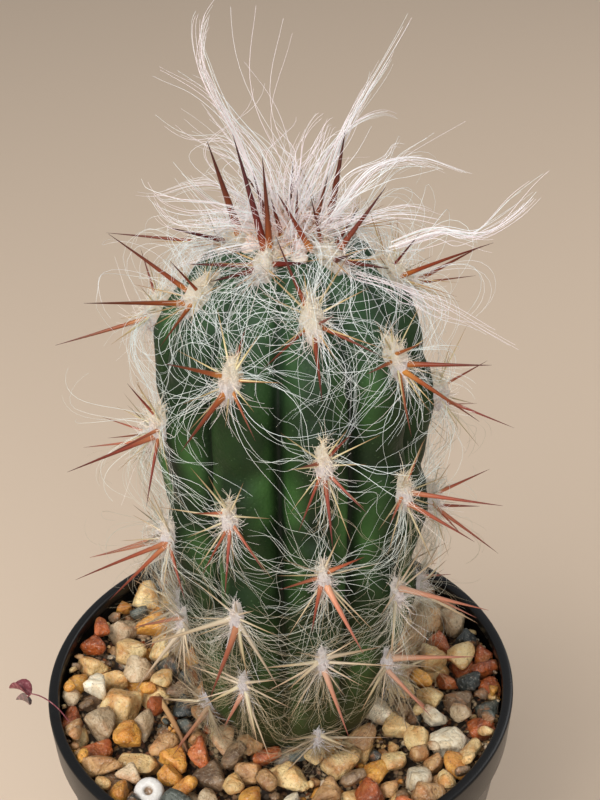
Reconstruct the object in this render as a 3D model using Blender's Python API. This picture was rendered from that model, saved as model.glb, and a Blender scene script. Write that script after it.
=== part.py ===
"""A young old man of the andes cactus growing in a round nursery pot.

Sizes are in millimetres and MM turns them into metres. +Z is up, the front of the plant is
towards -Y, and the origin is the centre of the pot's flat underside. A bearing is the
direction round the plant from the front towards +X, in degrees.
"""

import math
import random

import bmesh
import bpy
from mathutils import Vector
from mathutils.bvhtree import BVHTree

MM = 0.001
SEAT_GAP = 0.35  # between a piece and what it lies on

# Pot
RIM_HEIGHT = 75.0
RIM_RADIUS = 42.5
LIP_WIDTH = 2.0
LIP_HEIGHT = 2.2
COLLAR_HEIGHT = 7.7
COLLAR_BOTTOM_RADIUS = 42.0
STEP_WIDTH = 0.8
BASE_RADIUS = 32.0
WALL = 1.1
FLOOR_THICKNESS = 1.4
POT_SIDES = 64
DRAIN_HOLES = 6
DRAIN_HOLE_RADIUS = 3.0
DRAIN_CIRCLE_RADIUS = 23.0
DRAIN_TURN = 0.47  # of a step, so that no hole's edge meets an edge of the base

# Growing mix and gravel
SOIL_TOP = 62.0
GRAVEL_BOTTOM = SOIL_TOP + 0.4
GRAVEL_TOP = 69.3
STONES_TOP = GRAVEL_TOP + 4.7  # above every stone
GRAVEL_SIDES = 72
GRAVEL_RINGS = 8

# Stem
STEM_X = 2.1  # where the axis meets the floor's height
STEM_Y = -3.1
LEAN_X = 0.009
LEAN_Y = 0.011
ROOT_TIP = 47.0
SHOULDER = 138.5
APEX = 164.8
STEM_OUTLINE = [
    (ROOT_TIP, 1.6),
    (55.0, 5.0),
    (63.0, 8.5),
    (70.0, 12.8),
    (78.5, 17.2),
    (90.0, 19.3),
    (115.0, 21.5),
    (SHOULDER, 21.9),
]
DOME_POWER = 2.2
RIBS = 10
FIRST_RIB_BEARING = -26.0
RIB_DEPTH = 0.21  # of the stem's radius
RIBS_BEGIN = 66.0
RIBS_FULL = 88.0
STEM_SIDES_PER_RIB = 6

# Areoles: five to a rib, and every second rib's lie between its neighbours' ones
EVEN_AREOLES = [163.4, 151.0, 128.0, 107.6, 92.0]
ODD_AREOLES = [158.6, 138.4, 117.4, 98.8, 78.5]
TUBERCLE_RISE = 1.3
PAD_ACROSS = 1.8
PAD_ALONG = 3.2
PAD_RISE = 1.9
PAD_SIDES = 9
SPINE_RADIUS = 0.42
SPINE_ROOM = 1.15  # between the middles of two areoles' spines
RADIALS = [(35, 70), (80, 74), (125, 72), (235, 72), (280, 74), (325, 70)]

# The main spines of the areoles in front: (rib, areole) to (clock, lean, length). The clock is
# read facing the plant, with 0 upwards, and the lean is the angle from straight out.
MAIN_SPINES = {
    (0, 1): [(184, 37, 14), (283, 27, 12)],
    (0, 2): [(178, 20, 10), (152, 41, 12)],
    (0, 3): [(154, 19, 14), (117, 60, 13), (271, 36, 16)],
    (0, 4): [(187, 19, 7), (127, 45, 10)],
    (1, 0): [(136, 16, 8), (336, 63, 12)],
    (1, 1): [(185, 38, 12), (222, 50, 10), (32, 58, 7)],
    (1, 2): [(154, 32, 13), (224, 34, 9)],
    (1, 3): [(161, 19, 13), (278, 45, 9)],
    (1, 4): [(40, 40, 8)],
    (2, 1): [(196, 33, 16), (131, 28, 13)],
    (2, 2): [(189, 9, 14), (91, 15, 16)],
    (2, 3): [(4, 11, 18), (233, 58, 10)],
    (2, 4): [(226, 14, 12), (57, 28, 15)],
    (3, 0): [(235, 23, 18), (310, 14, 9)],
    (3, 1): [(85, 40, 10), (180, 30, 13)],
    (8, 1): [(164, 46, 16)],
    (9, 0): [(173, 31, 18), (262, 19, 16)],
    (9, 1): [(87, 25, 11), (151, 11, 16), (0, 46, 10)],
    (9, 2): [(127, 8, 17), (137, 34, 13)],
    (9, 3): [(27, 18, 10), (125, 31, 14)],
}
CROWN_SPINES = {
    0: [(0, 18, 16), (325, 27, 19)],
    2: [(103, 28, 13), (350, 30, 9)],
    4: [(3, 7, 15)],
    6: [(344, 48, 11), (120, 30, 9)],
    8: [(46, 9, 17)],
}
CROWN_RADIUS = 9.0
CROWN_RISE = 4.2
CROWN_SIDES = 20

# The long hair: (x, y, z) along the middle of each tuft, after its root on the crown or areole
CROWN_TUFTS = [
    [(8.2, 2.6), (11.6, 3.6, 177), (15.4, 4, 184.4), (19.3, 4, 191.2), (22.9, 4, 198.0)],
    [(0.2, 2.2), (-3.6, 4, 178.1), (-7.7, 4, 187.5), (-8.0, 4, 193.5), (-5.9, 4, 198.6)],
    [(9.4, -2.0), (16.0, 0.5, 174.1), (23.6, 2, 175), (31.2, 2, 172), (38.9, 2, 169.6)],
]
SIDE_TUFT_AREOLE = (3, 0)
SIDE_TUFT = [(26.0, -5.4, 166.2), (31.9, -6, 165.9), (38.3, -6, 170.5), (44.1, -6, 177.9)]
TUFT_RADIUS = 0.8
TUFT_SIDES = 6
TUFT_STEPS = 9

# Stones that lie on the bed: (name, x, y, half length, half width, half height, turn, colour)
PEBBLES = [
    ("pebble_cream", -29.0, -2.0, 5.0, 3.7, 3.2, 35, (0.80, 0.68, 0.46)),
    ("pebble_pale", -30.4, 18.4, 3.7, 3.3, 2.7, 0, (0.62, 0.55, 0.45)),
    ("pebble_ochre", -25.2, -17.0, 4.2, 3.3, 2.8, 10, (0.82, 0.55, 0.18)),
    ("pebble_white", 30.0, -14.5, 4.2, 3.0, 2.8, 15, (0.85, 0.80, 0.66)),
]
PEBBLE_LIFT = 70.4  # height of the stones' middles

FALLEN_SPINE_ENDS = [(-22.9, -0.6), (-17.0, -15.2)]
FALLEN_SPINE_RADIUS = 0.55
SEEDLING_PATH = [
    (-38.2, -9.1, 73.8),
    (-39.6, -8.4, 75.8),
    (-41.3, -7.4, 77.0),
    (-43.4, -5.9, 77.3),
    (-45.8, -4.2, 77.3),
]  # over the rim, after its root on the gravel
SEEDLING_ROOT = (-36.4, -9.8)
SEEDLING_STALK_RADIUS = 0.3
SEEDLING_LEAF = (-48.4, -2.2, 77.3)
SEEDLING_LEAF_LONG = 2.6
SEEDLING_LEAF_WIDE = 1.4


def clear_scene() -> None:
    """Removes every object that the file opened with."""
    for obj in list(bpy.data.objects):
        bpy.data.objects.remove(obj, do_unlink=True)


def material(name: str, colour: tuple, roughness: float) -> bpy.types.Material:
    """A plain Principled material, made once for each name."""
    found = bpy.data.materials.get(name)
    if found:
        return found
    made = bpy.data.materials.new(name)
    made.use_nodes = True
    shader = made.node_tree.nodes["Principled BSDF"]
    shader.inputs["Base Color"].default_value = (*colour, 1.0)
    shader.inputs["Roughness"].default_value = roughness
    shader.inputs["Metallic"].default_value = 0.0
    return made


def add_object(name: str, bm: bmesh.types.BMesh, finish: bpy.types.Material) -> bpy.types.Object:
    """Turns a bmesh in millimetres into a named object in metres."""
    bmesh.ops.scale(bm, vec=Vector((MM, MM, MM)), verts=bm.verts)
    bmesh.ops.recalc_face_normals(bm, faces=bm.faces)
    mesh = bpy.data.meshes.new(name)
    bm.to_mesh(mesh)
    bm.free()
    mesh.materials.append(finish)
    mesh.shade_smooth()
    mesh.set_sharp_from_angle(angle=math.radians(40))
    obj = bpy.data.objects.new(name, mesh)
    bpy.context.scene.collection.objects.link(obj)
    return obj


def cut_away(obj: bpy.types.Object, cutters: list) -> None:
    """Cuts hidden cutter objects out of a piece."""
    for cutter in cutters:
        cutter.hide_render = True
        cutter.display_type = "WIRE"
        cut = obj.modifiers.new("cut_" + cutter.name, "BOOLEAN")
        cut.operation = "DIFFERENCE"
        cut.object = cutter


def lathe(profile: list, sides: int, centre: tuple = (0.0, 0.0)) -> bmesh.types.BMesh:
    """Spins a closed outline of (radius, height) points; a radius of 0 becomes a pole."""
    bm = bmesh.new()
    rings = []
    for radius, height in profile:
        if radius == 0:
            rings.append([bm.verts.new((*centre, height))])
            continue
        turns = [2 * math.pi * k / sides for k in range(sides)]
        rings.append(
            [
                bm.verts.new((centre[0] + radius * math.cos(a), centre[1] + radius * math.sin(a), height))
                for a in turns
            ]
        )
    pairs = list(zip(rings, rings[1:]))
    if len(rings[0]) > 1:
        pairs.append((rings[-1], rings[0]))
    for lower, upper in pairs:
        bridge(bm, lower, upper)
    return bm


def bridge(bm: bmesh.types.BMesh, lower: list, upper: list) -> None:
    """Joins two rings of vertices with quads, or a ring and a pole with triangles."""
    sides = max(len(lower), len(upper))
    for k in range(sides):
        after = (k + 1) % sides
        if len(lower) == 1:
            corners = [lower[0], upper[after], upper[k]]
        elif len(upper) == 1:
            corners = [lower[k], lower[after], upper[0]]
        else:
            corners = [lower[k], lower[after], upper[after], upper[k]]
        bm.faces.new(corners)


def smooth_through(points: list, at: float) -> float:
    """A smooth curve's value through (place, value) points."""
    last = len(points) - 1
    index = max(i for i in range(last) if points[i][0] <= at or i == 0)
    (x0, y0), (x1, y1) = points[index], points[index + 1]
    before = points[max(index - 1, 0)]
    after = points[min(index + 2, last)]
    slope0 = (y1 - before[1]) / (x1 - before[0])
    slope1 = (after[1] - y0) / (after[0] - x0)
    width = x1 - x0
    t = (at - x0) / width
    return (
        (2 * t**3 - 3 * t**2 + 1) * y0
        + (t**3 - 2 * t**2 + t) * width * slope0
        + (3 * t**2 - 2 * t**3) * y1
        + (t**3 - t**2) * width * slope1
    )


# ---------------------------------------------------------------- stem


def axis_at(height: float) -> Vector:
    """The middle of the stem at a height."""
    return Vector((STEM_X + LEAN_X * height, STEM_Y + LEAN_Y * height, height))


def heading(bearing: float) -> Vector:
    """The level direction of a bearing."""
    angle = math.radians(bearing)
    return Vector((math.sin(angle), -math.cos(angle), 0))


def envelope(height: float) -> float:
    """The stem's radius over its rib crests."""
    if height <= SHOULDER:
        return smooth_through(STEM_OUTLINE, height)
    rise = min((height - SHOULDER) / (APEX - SHOULDER), 1.0)
    return STEM_OUTLINE[-1][1] * math.sqrt(max(0.0, 1 - rise**DOME_POWER))


def envelope_height(radius: float) -> float:
    """The dome's height where its crests have this radius."""
    share = radius / STEM_OUTLINE[-1][1]
    return SHOULDER + (APEX - SHOULDER) * (1 - share**2) ** (1 / DOME_POWER)


def areoles_of(rib: int) -> list:
    """The heights of one rib's areoles, from the crown down."""
    return ODD_AREOLES if rib % 2 else EVEN_AREOLES


def rib_bearing(rib: int) -> float:
    """The bearing of a rib's crest."""
    return FIRST_RIB_BEARING + 360 / RIBS * rib


def tubercle(rib: int, height: float, across: float) -> float:
    """How far a rib swells at its areoles, less the crease above each one."""
    rise = 0.0
    for areole in areoles_of(rib):
        rise += math.exp(-(((height - areole + 1.5) / 5) ** 2))
        rise -= 0.6 * math.exp(-(((height - areole - 6.0) / 2.4) ** 2))
    shoulder_share = envelope(height) / STEM_OUTLINE[-1][1]
    return TUBERCLE_RISE * rise * shoulder_share * max(0.0, 1 - (across / 0.4) ** 2)


def stem_radius(bearing: float, height: float) -> float:
    """The stem's radius at a bearing and height, with its ribs and tubercles."""
    turn = (bearing - FIRST_RIB_BEARING) / (360 / RIBS)
    rib = round(turn)
    across = abs(turn - rib)
    share = min(max((height - RIBS_BEGIN) / (RIBS_FULL - RIBS_BEGIN), 0.0), 1.0)
    furrow = 0.7 * (2 * across) ** 2 + 0.3 * (2 * across) ** 6
    plain = envelope(height) * (1 - RIB_DEPTH * share * furrow)
    return plain + share * tubercle(rib % RIBS, height, across)


def stem_point(bearing: float, height: float) -> Vector:
    """A point of the stem's skin."""
    return axis_at(height) + stem_radius(bearing, height) * heading(bearing)


def stem_heights() -> list:
    """The heights of the stem's rows, close together where it curves."""
    root = [ROOT_TIP + (RIBS_BEGIN - ROOT_TIP) * k / 4 for k in range(4)]
    body = [RIBS_BEGIN + (SHOULDER - RIBS_BEGIN) * k / 17 for k in range(17)]
    dome = []
    for k in range(8):
        angle = math.pi / 2 * k / 8
        dome.append(SHOULDER + (APEX - SHOULDER) * math.sin(angle) ** (2 / DOME_POWER))
    return root + body + dome


def build_stem() -> None:
    """The grown stem, with ribs, tubercles, a pinched foot and a tapered root, in one piece."""
    bm = bmesh.new()
    sides = RIBS * STEM_SIDES_PER_RIB
    bearings = [FIRST_RIB_BEARING + 360 * k / sides for k in range(sides)]
    rings = [[bm.verts.new(stem_point(b, height)) for b in bearings] for height in stem_heights()]
    rings.insert(0, [bm.verts.new(axis_at(ROOT_TIP - 1.5))])
    rings.append([bm.verts.new(axis_at(APEX))])
    for lower, upper in zip(rings, rings[1:]):
        bridge(bm, lower, upper)
    add_object("stem", bm, material("stem_skin", (0.06, 0.16, 0.07), 0.5))


def foot_cutter(name: str) -> bpy.types.Object:
    """The stem's foot and root grown by the seat gap, to leave them room in what they stand in."""
    heights = [ROOT_TIP - 2 + (84 - ROOT_TIP) * k / 10 for k in range(11)]
    profile = [(envelope(max(h, ROOT_TIP)) + SEAT_GAP + 0.15, h) for h in heights]
    middle = axis_at(GRAVEL_TOP)
    outline = [(0, heights[0])] + profile + [(0, heights[-1])]
    return add_object(name, lathe(outline, 28, (middle.x, middle.y)), material("cutter", (1, 1, 1), 1))


# ---------------------------------------------------------------- areoles and spines


def areole_frame(bearing: float, height: float) -> tuple:
    """An areole's middle, its outward normal, its upward direction and its right side."""
    middle = stem_point(bearing, height)
    along = stem_point(bearing, min(height + 0.4, APEX - 0.05)) - stem_point(bearing, height - 0.4)
    right = Vector((math.cos(math.radians(bearing)), math.sin(math.radians(bearing)), 0))
    up = along.normalized()
    normal = right.cross(up).normalized()
    return middle, normal, up, right


def spine_direction(frame: tuple, clock: float, lean: float) -> Vector:
    """The direction of a spine from its clock angle and its lean."""
    _, normal, up, right = frame
    turn, tilt = math.radians(clock), math.radians(lean)
    flat = up * math.cos(turn) + right * math.sin(turn)
    return (normal * math.cos(tilt) + flat * math.sin(tilt)).normalized()


def segment_gap(a0: Vector, a1: Vector, b0: Vector, b1: Vector) -> float:
    """About how close two spines come, from points along the first one."""
    line = b1 - b0
    nearest = 1e9
    for k in range(13):
        point = a0.lerp(a1, k / 12)
        share = min(max((point - b0).dot(line) / line.length_squared, 0.0), 1.0)
        nearest = min(nearest, (point - b0 - line * share).length)
    return nearest


class SpineRoom:
    """Keeps the spines clear of each other, of the stem, of the gravel and of the pot."""

    def __init__(self, tufts: list) -> None:
        self.taken = []
        for path in tufts:
            points = [Vector(point) for point in path]
            points[0] = points[0].lerp(points[1], 0.4)
            for start, end in zip(points, points[1:]):
                self.taken.append((("tuft",), start, end))

    def is_clear(self, owner: tuple, base: Vector, tip: Vector) -> bool:
        """Whether a spine touches nothing but its own areole."""
        for k in range(3, 13):
            point = base.lerp(tip, k / 12)
            middle = axis_at(point.z)
            away = point - middle
            bearing = math.degrees(math.atan2(away.x, -away.y))
            if point.z < APEX and away.to_2d().length < stem_radius(bearing, point.z) + 0.7:
                return False
            if point.z < STONES_TOP:
                return False
            if point.z < RIM_HEIGHT + 1.2 and point.to_2d().length > RIM_RADIUS - LIP_WIDTH - 1.0:
                return False
        for other, start, end in self.taken:
            room = SPINE_ROOM + (TUFT_RADIUS if other == ("tuft",) else 0)
            if other != owner and segment_gap(base, tip, start, end) < room:
                return False
        return True

    def place(self, owner: tuple, frame: tuple, spine: tuple) -> Vector | None:
        """A spine's tip, turned or shortened a little until it is clear, or None."""
        clock, lean, length = spine
        base = frame[0] + frame[1] * 0.8
        for shorten in (1.0, 0.85, 0.7, 0.55):
            for turn in (0, 6, -6, 12, -12, 18, -18):
                for tilt in (0, -7, 7, -14):
                    direction = spine_direction(frame, clock + turn, max(lean + tilt, 4))
                    tip = base + direction * length * shorten
                    if self.is_clear(owner, base, tip):
                        self.taken.append((owner, base, tip))
                        return tip
        return None


def grow_spine(bm: bmesh.types.BMesh, free: list, base: Vector, tip: Vector) -> None:
    """Pulls the pad's face that looks along a spine out into that spine."""
    direction = (tip - base).normalized()
    face = max(free, key=lambda f: (f.calc_center_median() - base).normalized().dot(direction))
    free.remove(face)
    middle = face.calc_center_median()
    reach = min((edge.verts[0].co + edge.verts[1].co - middle * 2).length / 2 for edge in face.edges)
    inset = max(0.02, reach - SPINE_RADIUS)
    bmesh.ops.inset_individual(bm, faces=[face], thickness=inset)
    point = bmesh.ops.poke(bm, faces=[face])["verts"][0]
    point.co = tip


def pad_dome(frame: tuple) -> tuple:
    """A domed felt pad on an areole, flat below, and the faces that spines can grow from."""
    middle, normal, up, right = frame
    bm = bmesh.new()
    rings = []
    for rise in (0.0, 0.42, 0.8):
        ring = []
        width = math.sqrt(1 - rise**2)
        for k in range(PAD_SIDES):
            turn = 2 * math.pi * (k + 0.5) / PAD_SIDES
            flat = right * PAD_ACROSS * math.cos(turn) + up * PAD_ALONG * math.sin(turn)
            ring.append(bm.verts.new(middle + normal * (SEAT_GAP + PAD_RISE * rise) + flat * width))
        rings.append(ring)
    free = []
    for lower, upper in zip(rings, rings[1:]):
        before = set(bm.faces)
        bridge(bm, lower, upper)
        free += [face for face in bm.faces if face not in before]
    free.append(bm.faces.new(rings[-1]))
    bm.faces.new(rings[0][::-1])
    return bm, free


def build_areole(rib: int, index: int, height: float, room: SpineRoom) -> None:
    """One areole: its felt pad and its spines, grown as one piece."""
    frame = areole_frame(rib_bearing(rib), height)
    chance = random.Random(100 * rib + index)
    bm, free = pad_dome(frame)
    base = frame[0] + frame[1] * 0.8
    usual = [(chance.uniform(150, 210), chance.uniform(15, 40), chance.uniform(11, 16))]
    usual.append((chance.choice([-1, 1]) * chance.uniform(70, 120), chance.uniform(25, 45), 11))
    spines = list(MAIN_SPINES.get((rib, index), usual))
    for clock, lean in RADIALS:
        spines.append((clock + chance.uniform(-10, 10), lean, chance.uniform(6.0, 8.5)))
    bm.normal_update()
    for spine in spines:
        tip = room.place((rib, index), frame, spine)
        if tip is not None:
            grow_spine(bm, free, base, tip)
    name = f"areole_rib_{rib + 1:02d}_{index + (0 if rib % 2 == 0 else 1)}"
    add_object(name, bm, material("spine", (0.42, 0.14, 0.07), 0.45))


def crown_under() -> list:
    """The outline of the crown wool's underside, which follows the dome."""
    return [(r, envelope_height(r) + SEAT_GAP + 0.2) for r in (0, 3, 6, CROWN_RADIUS)]


def crown_over() -> list:
    """The outline of the crown wool's upper side, from its edge to its middle."""
    edge = crown_under()[-1][1]
    return [
        (CROWN_RADIUS + 0.3, edge + 1.2),
        (CROWN_RADIUS * 0.82, edge + 3.6),
        (CROWN_RADIUS * 0.52, APEX + CROWN_RISE * 0.85),
        (CROWN_RADIUS * 0.25, APEX + CROWN_RISE),
        (0, APEX + CROWN_RISE + 0.2),
    ]


def build_crown(room: SpineRoom) -> None:
    """The crown's wool with the spines of the youngest areoles, grown together."""
    middle = axis_at(APEX)
    edge = crown_under()[-1][1]
    bm = lathe(crown_under() + crown_over(), CROWN_SIDES, (middle.x, middle.y))
    bm.normal_update()
    bmesh.ops.recalc_face_normals(bm, faces=bm.faces)
    free = [face for face in bm.faces if face.calc_center_median().z > edge + 0.4 and face.normal.z > 0.2]
    free = [face for face in free if len(face.verts) == 4]
    for rib, spines in CROWN_SPINES.items():
        frame = areole_frame(rib_bearing(rib), EVEN_AREOLES[0])
        lifted = (frame[0] + frame[1] * 2.2, *frame[1:])
        for spine in spines:
            tip = room.place(("crown",), lifted, spine)
            if tip is not None:
                grow_spine(bm, free, lifted[0], tip)
    add_object("crown_wool", bm, material("wool", (0.82, 0.74, 0.70), 0.9))


# ---------------------------------------------------------------- hair, fallen spine, seedling


def tube(path: list, radii: list, sides: int) -> bmesh.types.BMesh:
    """A closed tube along a path, with a radius for each point and a point at each end."""
    bm = bmesh.new()
    points = [Vector(p) for p in path]
    rings = [[bm.verts.new(points[0])]]
    for k in range(1, len(points) - 1):
        ahead = (points[k + 1] - points[k - 1]).normalized()
        side = ahead.cross(Vector((0.3, 1, 0.2))).normalized()
        other = ahead.cross(side)
        ring = []
        for j in range(sides):
            turn = 2 * math.pi * j / sides
            ring.append(bm.verts.new(points[k] + (side * math.cos(turn) + other * math.sin(turn)) * radii[k]))
        rings.append(ring)
    rings.append([bm.verts.new(points[-1])])
    for lower, upper in zip(rings, rings[1:]):
        bridge(bm, lower, upper)
    return bm


def smooth_path(points: list, steps: int) -> list:
    """Points along a smooth curve through a path's own points."""
    last = len(points) - 1
    made = []
    for k in range(steps + 1):
        at = last * k / steps
        made.append(tuple(smooth_through([(i, p[c]) for i, p in enumerate(points)], at) for c in range(3)))
    return made


def tuft_paths() -> list:
    """The long tufts' paths, each rooted just clear of the crown's wool or of its areole's felt."""
    middle = axis_at(APEX)
    paths = []
    for (x, y), *rest in CROWN_TUFTS:
        away = math.hypot(x - middle.x, y - middle.y)
        outline = sorted(crown_over())
        index = next(i for i, (radius, _) in enumerate(outline) if radius >= away)
        (r0, z0), (r1, z1) = outline[index - 1], outline[index]
        root = (x, y, z0 + (z1 - z0) * (away - r0) / (r1 - r0) + 2 * SEAT_GAP)
        paths.append(smooth_path([root, *rest], TUFT_STEPS))
    rib, index = SIDE_TUFT_AREOLE
    spot, normal, _, _ = areole_frame(rib_bearing(rib), areoles_of(rib)[index])
    root = tuple(spot + normal * (PAD_RISE + 2 * SEAT_GAP))
    paths.append(smooth_path([root, *SIDE_TUFT], TUFT_STEPS))
    return paths


def build_hair_tufts(paths: list) -> None:
    """The long tufts of hair that stand out from the crown."""
    for number, path in enumerate(paths, 1):
        radii = [TUFT_RADIUS * (1.05 - k / TUFT_STEPS) for k in range(TUFT_STEPS + 1)]
        finish = material("hair", (0.88, 0.84, 0.82), 0.6)
        add_object(f"hair_tuft_{number}", tube(path, radii, TUFT_SIDES), finish)


def build_seedling(gravel: "Gravel") -> None:
    """A dried seedling: a thread of stalk over the rim with one curled leaf, in one piece."""
    x, y = SEEDLING_ROOT
    side = 2 * SEEDLING_STALK_RADIUS
    ground = max(gravel.skin_at(x + dx, y + dy) for dx in (-side, 0, side) for dy in (-side, 0, side))
    path = smooth_path([(x, y, ground + SEAT_GAP), *SEEDLING_PATH], 10)
    end = Vector(path[-1])
    leaf = Vector(SEEDLING_LEAF)
    out = (leaf - end).normalized()
    radii = [SEEDLING_STALK_RADIUS] * len(path)
    for share, radius in ((0.32, 0.7), (0.78, 1.0), (1.3, 0.8), (1.95, 0.35)):
        path.append(tuple(end + out * SEEDLING_LEAF_LONG * share))
        radii.append(SEEDLING_LEAF_WIDE * radius)
    path.append(tuple(end + out * SEEDLING_LEAF_LONG * 2.3))
    radii.append(0)
    add_object("dried_seedling", tube(path, radii, 6), material("seedling", (0.20, 0.06, 0.06), 0.6))


def build_fallen_spine(gravel: "Gravel") -> None:
    """A shed spine lying across the stones."""
    (x0, y0), (x1, y1) = FALLEN_SPINE_ENDS
    steps = 24
    line = [(x0 + (x1 - x0) * k / steps, y0 + (y1 - y0) * k / steps) for k in range(steps + 1)]
    side = 2 * FALLEN_SPINE_RADIUS
    height = max(gravel.skin_at(x + dx, y) for x, y in line for dx in (-side, 0, side))
    lift = height + FALLEN_SPINE_RADIUS + SEAT_GAP
    path = [(*line[round(steps * k / 6)], lift) for k in range(7)]
    radii = [FALLEN_SPINE_RADIUS * (1 - 0.13 * k) for k in range(7)]
    add_object("fallen_spine", tube(path, radii, 6), material("dry_spine", (0.62, 0.42, 0.24), 0.6))


# ---------------------------------------------------------------- pot, soil, gravel


def collar_slope() -> float:
    """How much the collar widens for each millimetre of height."""
    return (RIM_RADIUS - COLLAR_BOTTOM_RADIUS) / COLLAR_HEIGHT


def body_outer(height: float) -> float:
    """The pot body's outer radius below the collar."""
    top = RIM_HEIGHT - COLLAR_HEIGHT
    return BASE_RADIUS + (COLLAR_BOTTOM_RADIUS - STEP_WIDTH - BASE_RADIUS) * height / top


def inner_radius(height: float) -> float:
    """The inside radius of the pot's wall."""
    collar_foot = RIM_HEIGHT - COLLAR_HEIGHT
    if height < collar_foot:
        return body_outer(height) - WALL
    outer = COLLAR_BOTTOM_RADIUS + collar_slope() * (height - collar_foot)
    return outer - WALL


def build_pot() -> None:
    """The moulded pot: tapered body, stepped collar, rounded lip and drain holes."""
    collar_foot = RIM_HEIGHT - COLLAR_HEIGHT
    outside = [
        (0, 0),
        (BASE_RADIUS - 1.0, 0),
        (BASE_RADIUS - 0.3, 0.3),
        (body_outer(1.2), 1.2),
        (body_outer(collar_foot - 1.0), collar_foot - 1.0),
        (COLLAR_BOTTOM_RADIUS - 0.2, collar_foot - 0.3),
        (COLLAR_BOTTOM_RADIUS, collar_foot + 0.3),
        (RIM_RADIUS - 0.1, RIM_HEIGHT - 0.6),
        (RIM_RADIUS - 0.5, RIM_HEIGHT - 0.1),
    ]
    lip_inner = RIM_RADIUS - LIP_WIDTH
    inside = [
        (lip_inner + 0.5, RIM_HEIGHT),
        (lip_inner, RIM_HEIGHT - 0.5),
        (lip_inner, RIM_HEIGHT - LIP_HEIGHT),
        (inner_radius(RIM_HEIGHT - LIP_HEIGHT - 0.6), RIM_HEIGHT - LIP_HEIGHT - 0.6),
        (inner_radius(collar_foot + 0.2), collar_foot + 0.2),
        (inner_radius(collar_foot - 1.2), collar_foot - 1.2),
        (inner_radius(FLOOR_THICKNESS + 1.2), FLOOR_THICKNESS + 1.2),
        (inner_radius(FLOOR_THICKNESS) - 1.0, FLOOR_THICKNESS),
        (0, FLOOR_THICKNESS),
    ]
    finish = material("pot_plastic", (0.03, 0.03, 0.03), 0.4)
    pot = add_object("pot", lathe(outside + inside, POT_SIDES), finish)
    cutters = []
    for number in range(DRAIN_HOLES):
        turn = 2 * math.pi * (number + DRAIN_TURN) / DRAIN_HOLES
        spot = (DRAIN_CIRCLE_RADIUS * math.cos(turn), DRAIN_CIRCLE_RADIUS * math.sin(turn))
        depth = FLOOR_THICKNESS + 1
        outline = [(0, -1), (DRAIN_HOLE_RADIUS, -1), (DRAIN_HOLE_RADIUS, depth), (0, depth)]
        hole = lathe(outline, 16, spot)
        cutters.append(add_object(f"drain_cutter_{number}", hole, material("cutter", (1, 1, 1), 1)))
    cut_away(pot, cutters)


def build_soil() -> None:
    """The growing mix, which fills the pot below the gravel and leaves room for the root."""
    collar_foot = RIM_HEIGHT - COLLAR_HEIGHT
    low = FLOOR_THICKNESS + 1.6
    top = min(SOIL_TOP, collar_foot - 2)
    outline = [
        (0, FLOOR_THICKNESS + SEAT_GAP),
        (inner_radius(FLOOR_THICKNESS) - 1.6, FLOOR_THICKNESS + SEAT_GAP),
        (inner_radius(low) - SEAT_GAP, low),
        (inner_radius(top - 1) - SEAT_GAP, top - 1),
        (inner_radius(top) - SEAT_GAP - 1, top),
        (0, top),
    ]
    soil = add_object("potting_soil", lathe(outline, POT_SIDES), material("soil", (0.10, 0.07, 0.05), 0.95))
    cut_away(soil, [foot_cutter("root_cutter")])


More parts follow.
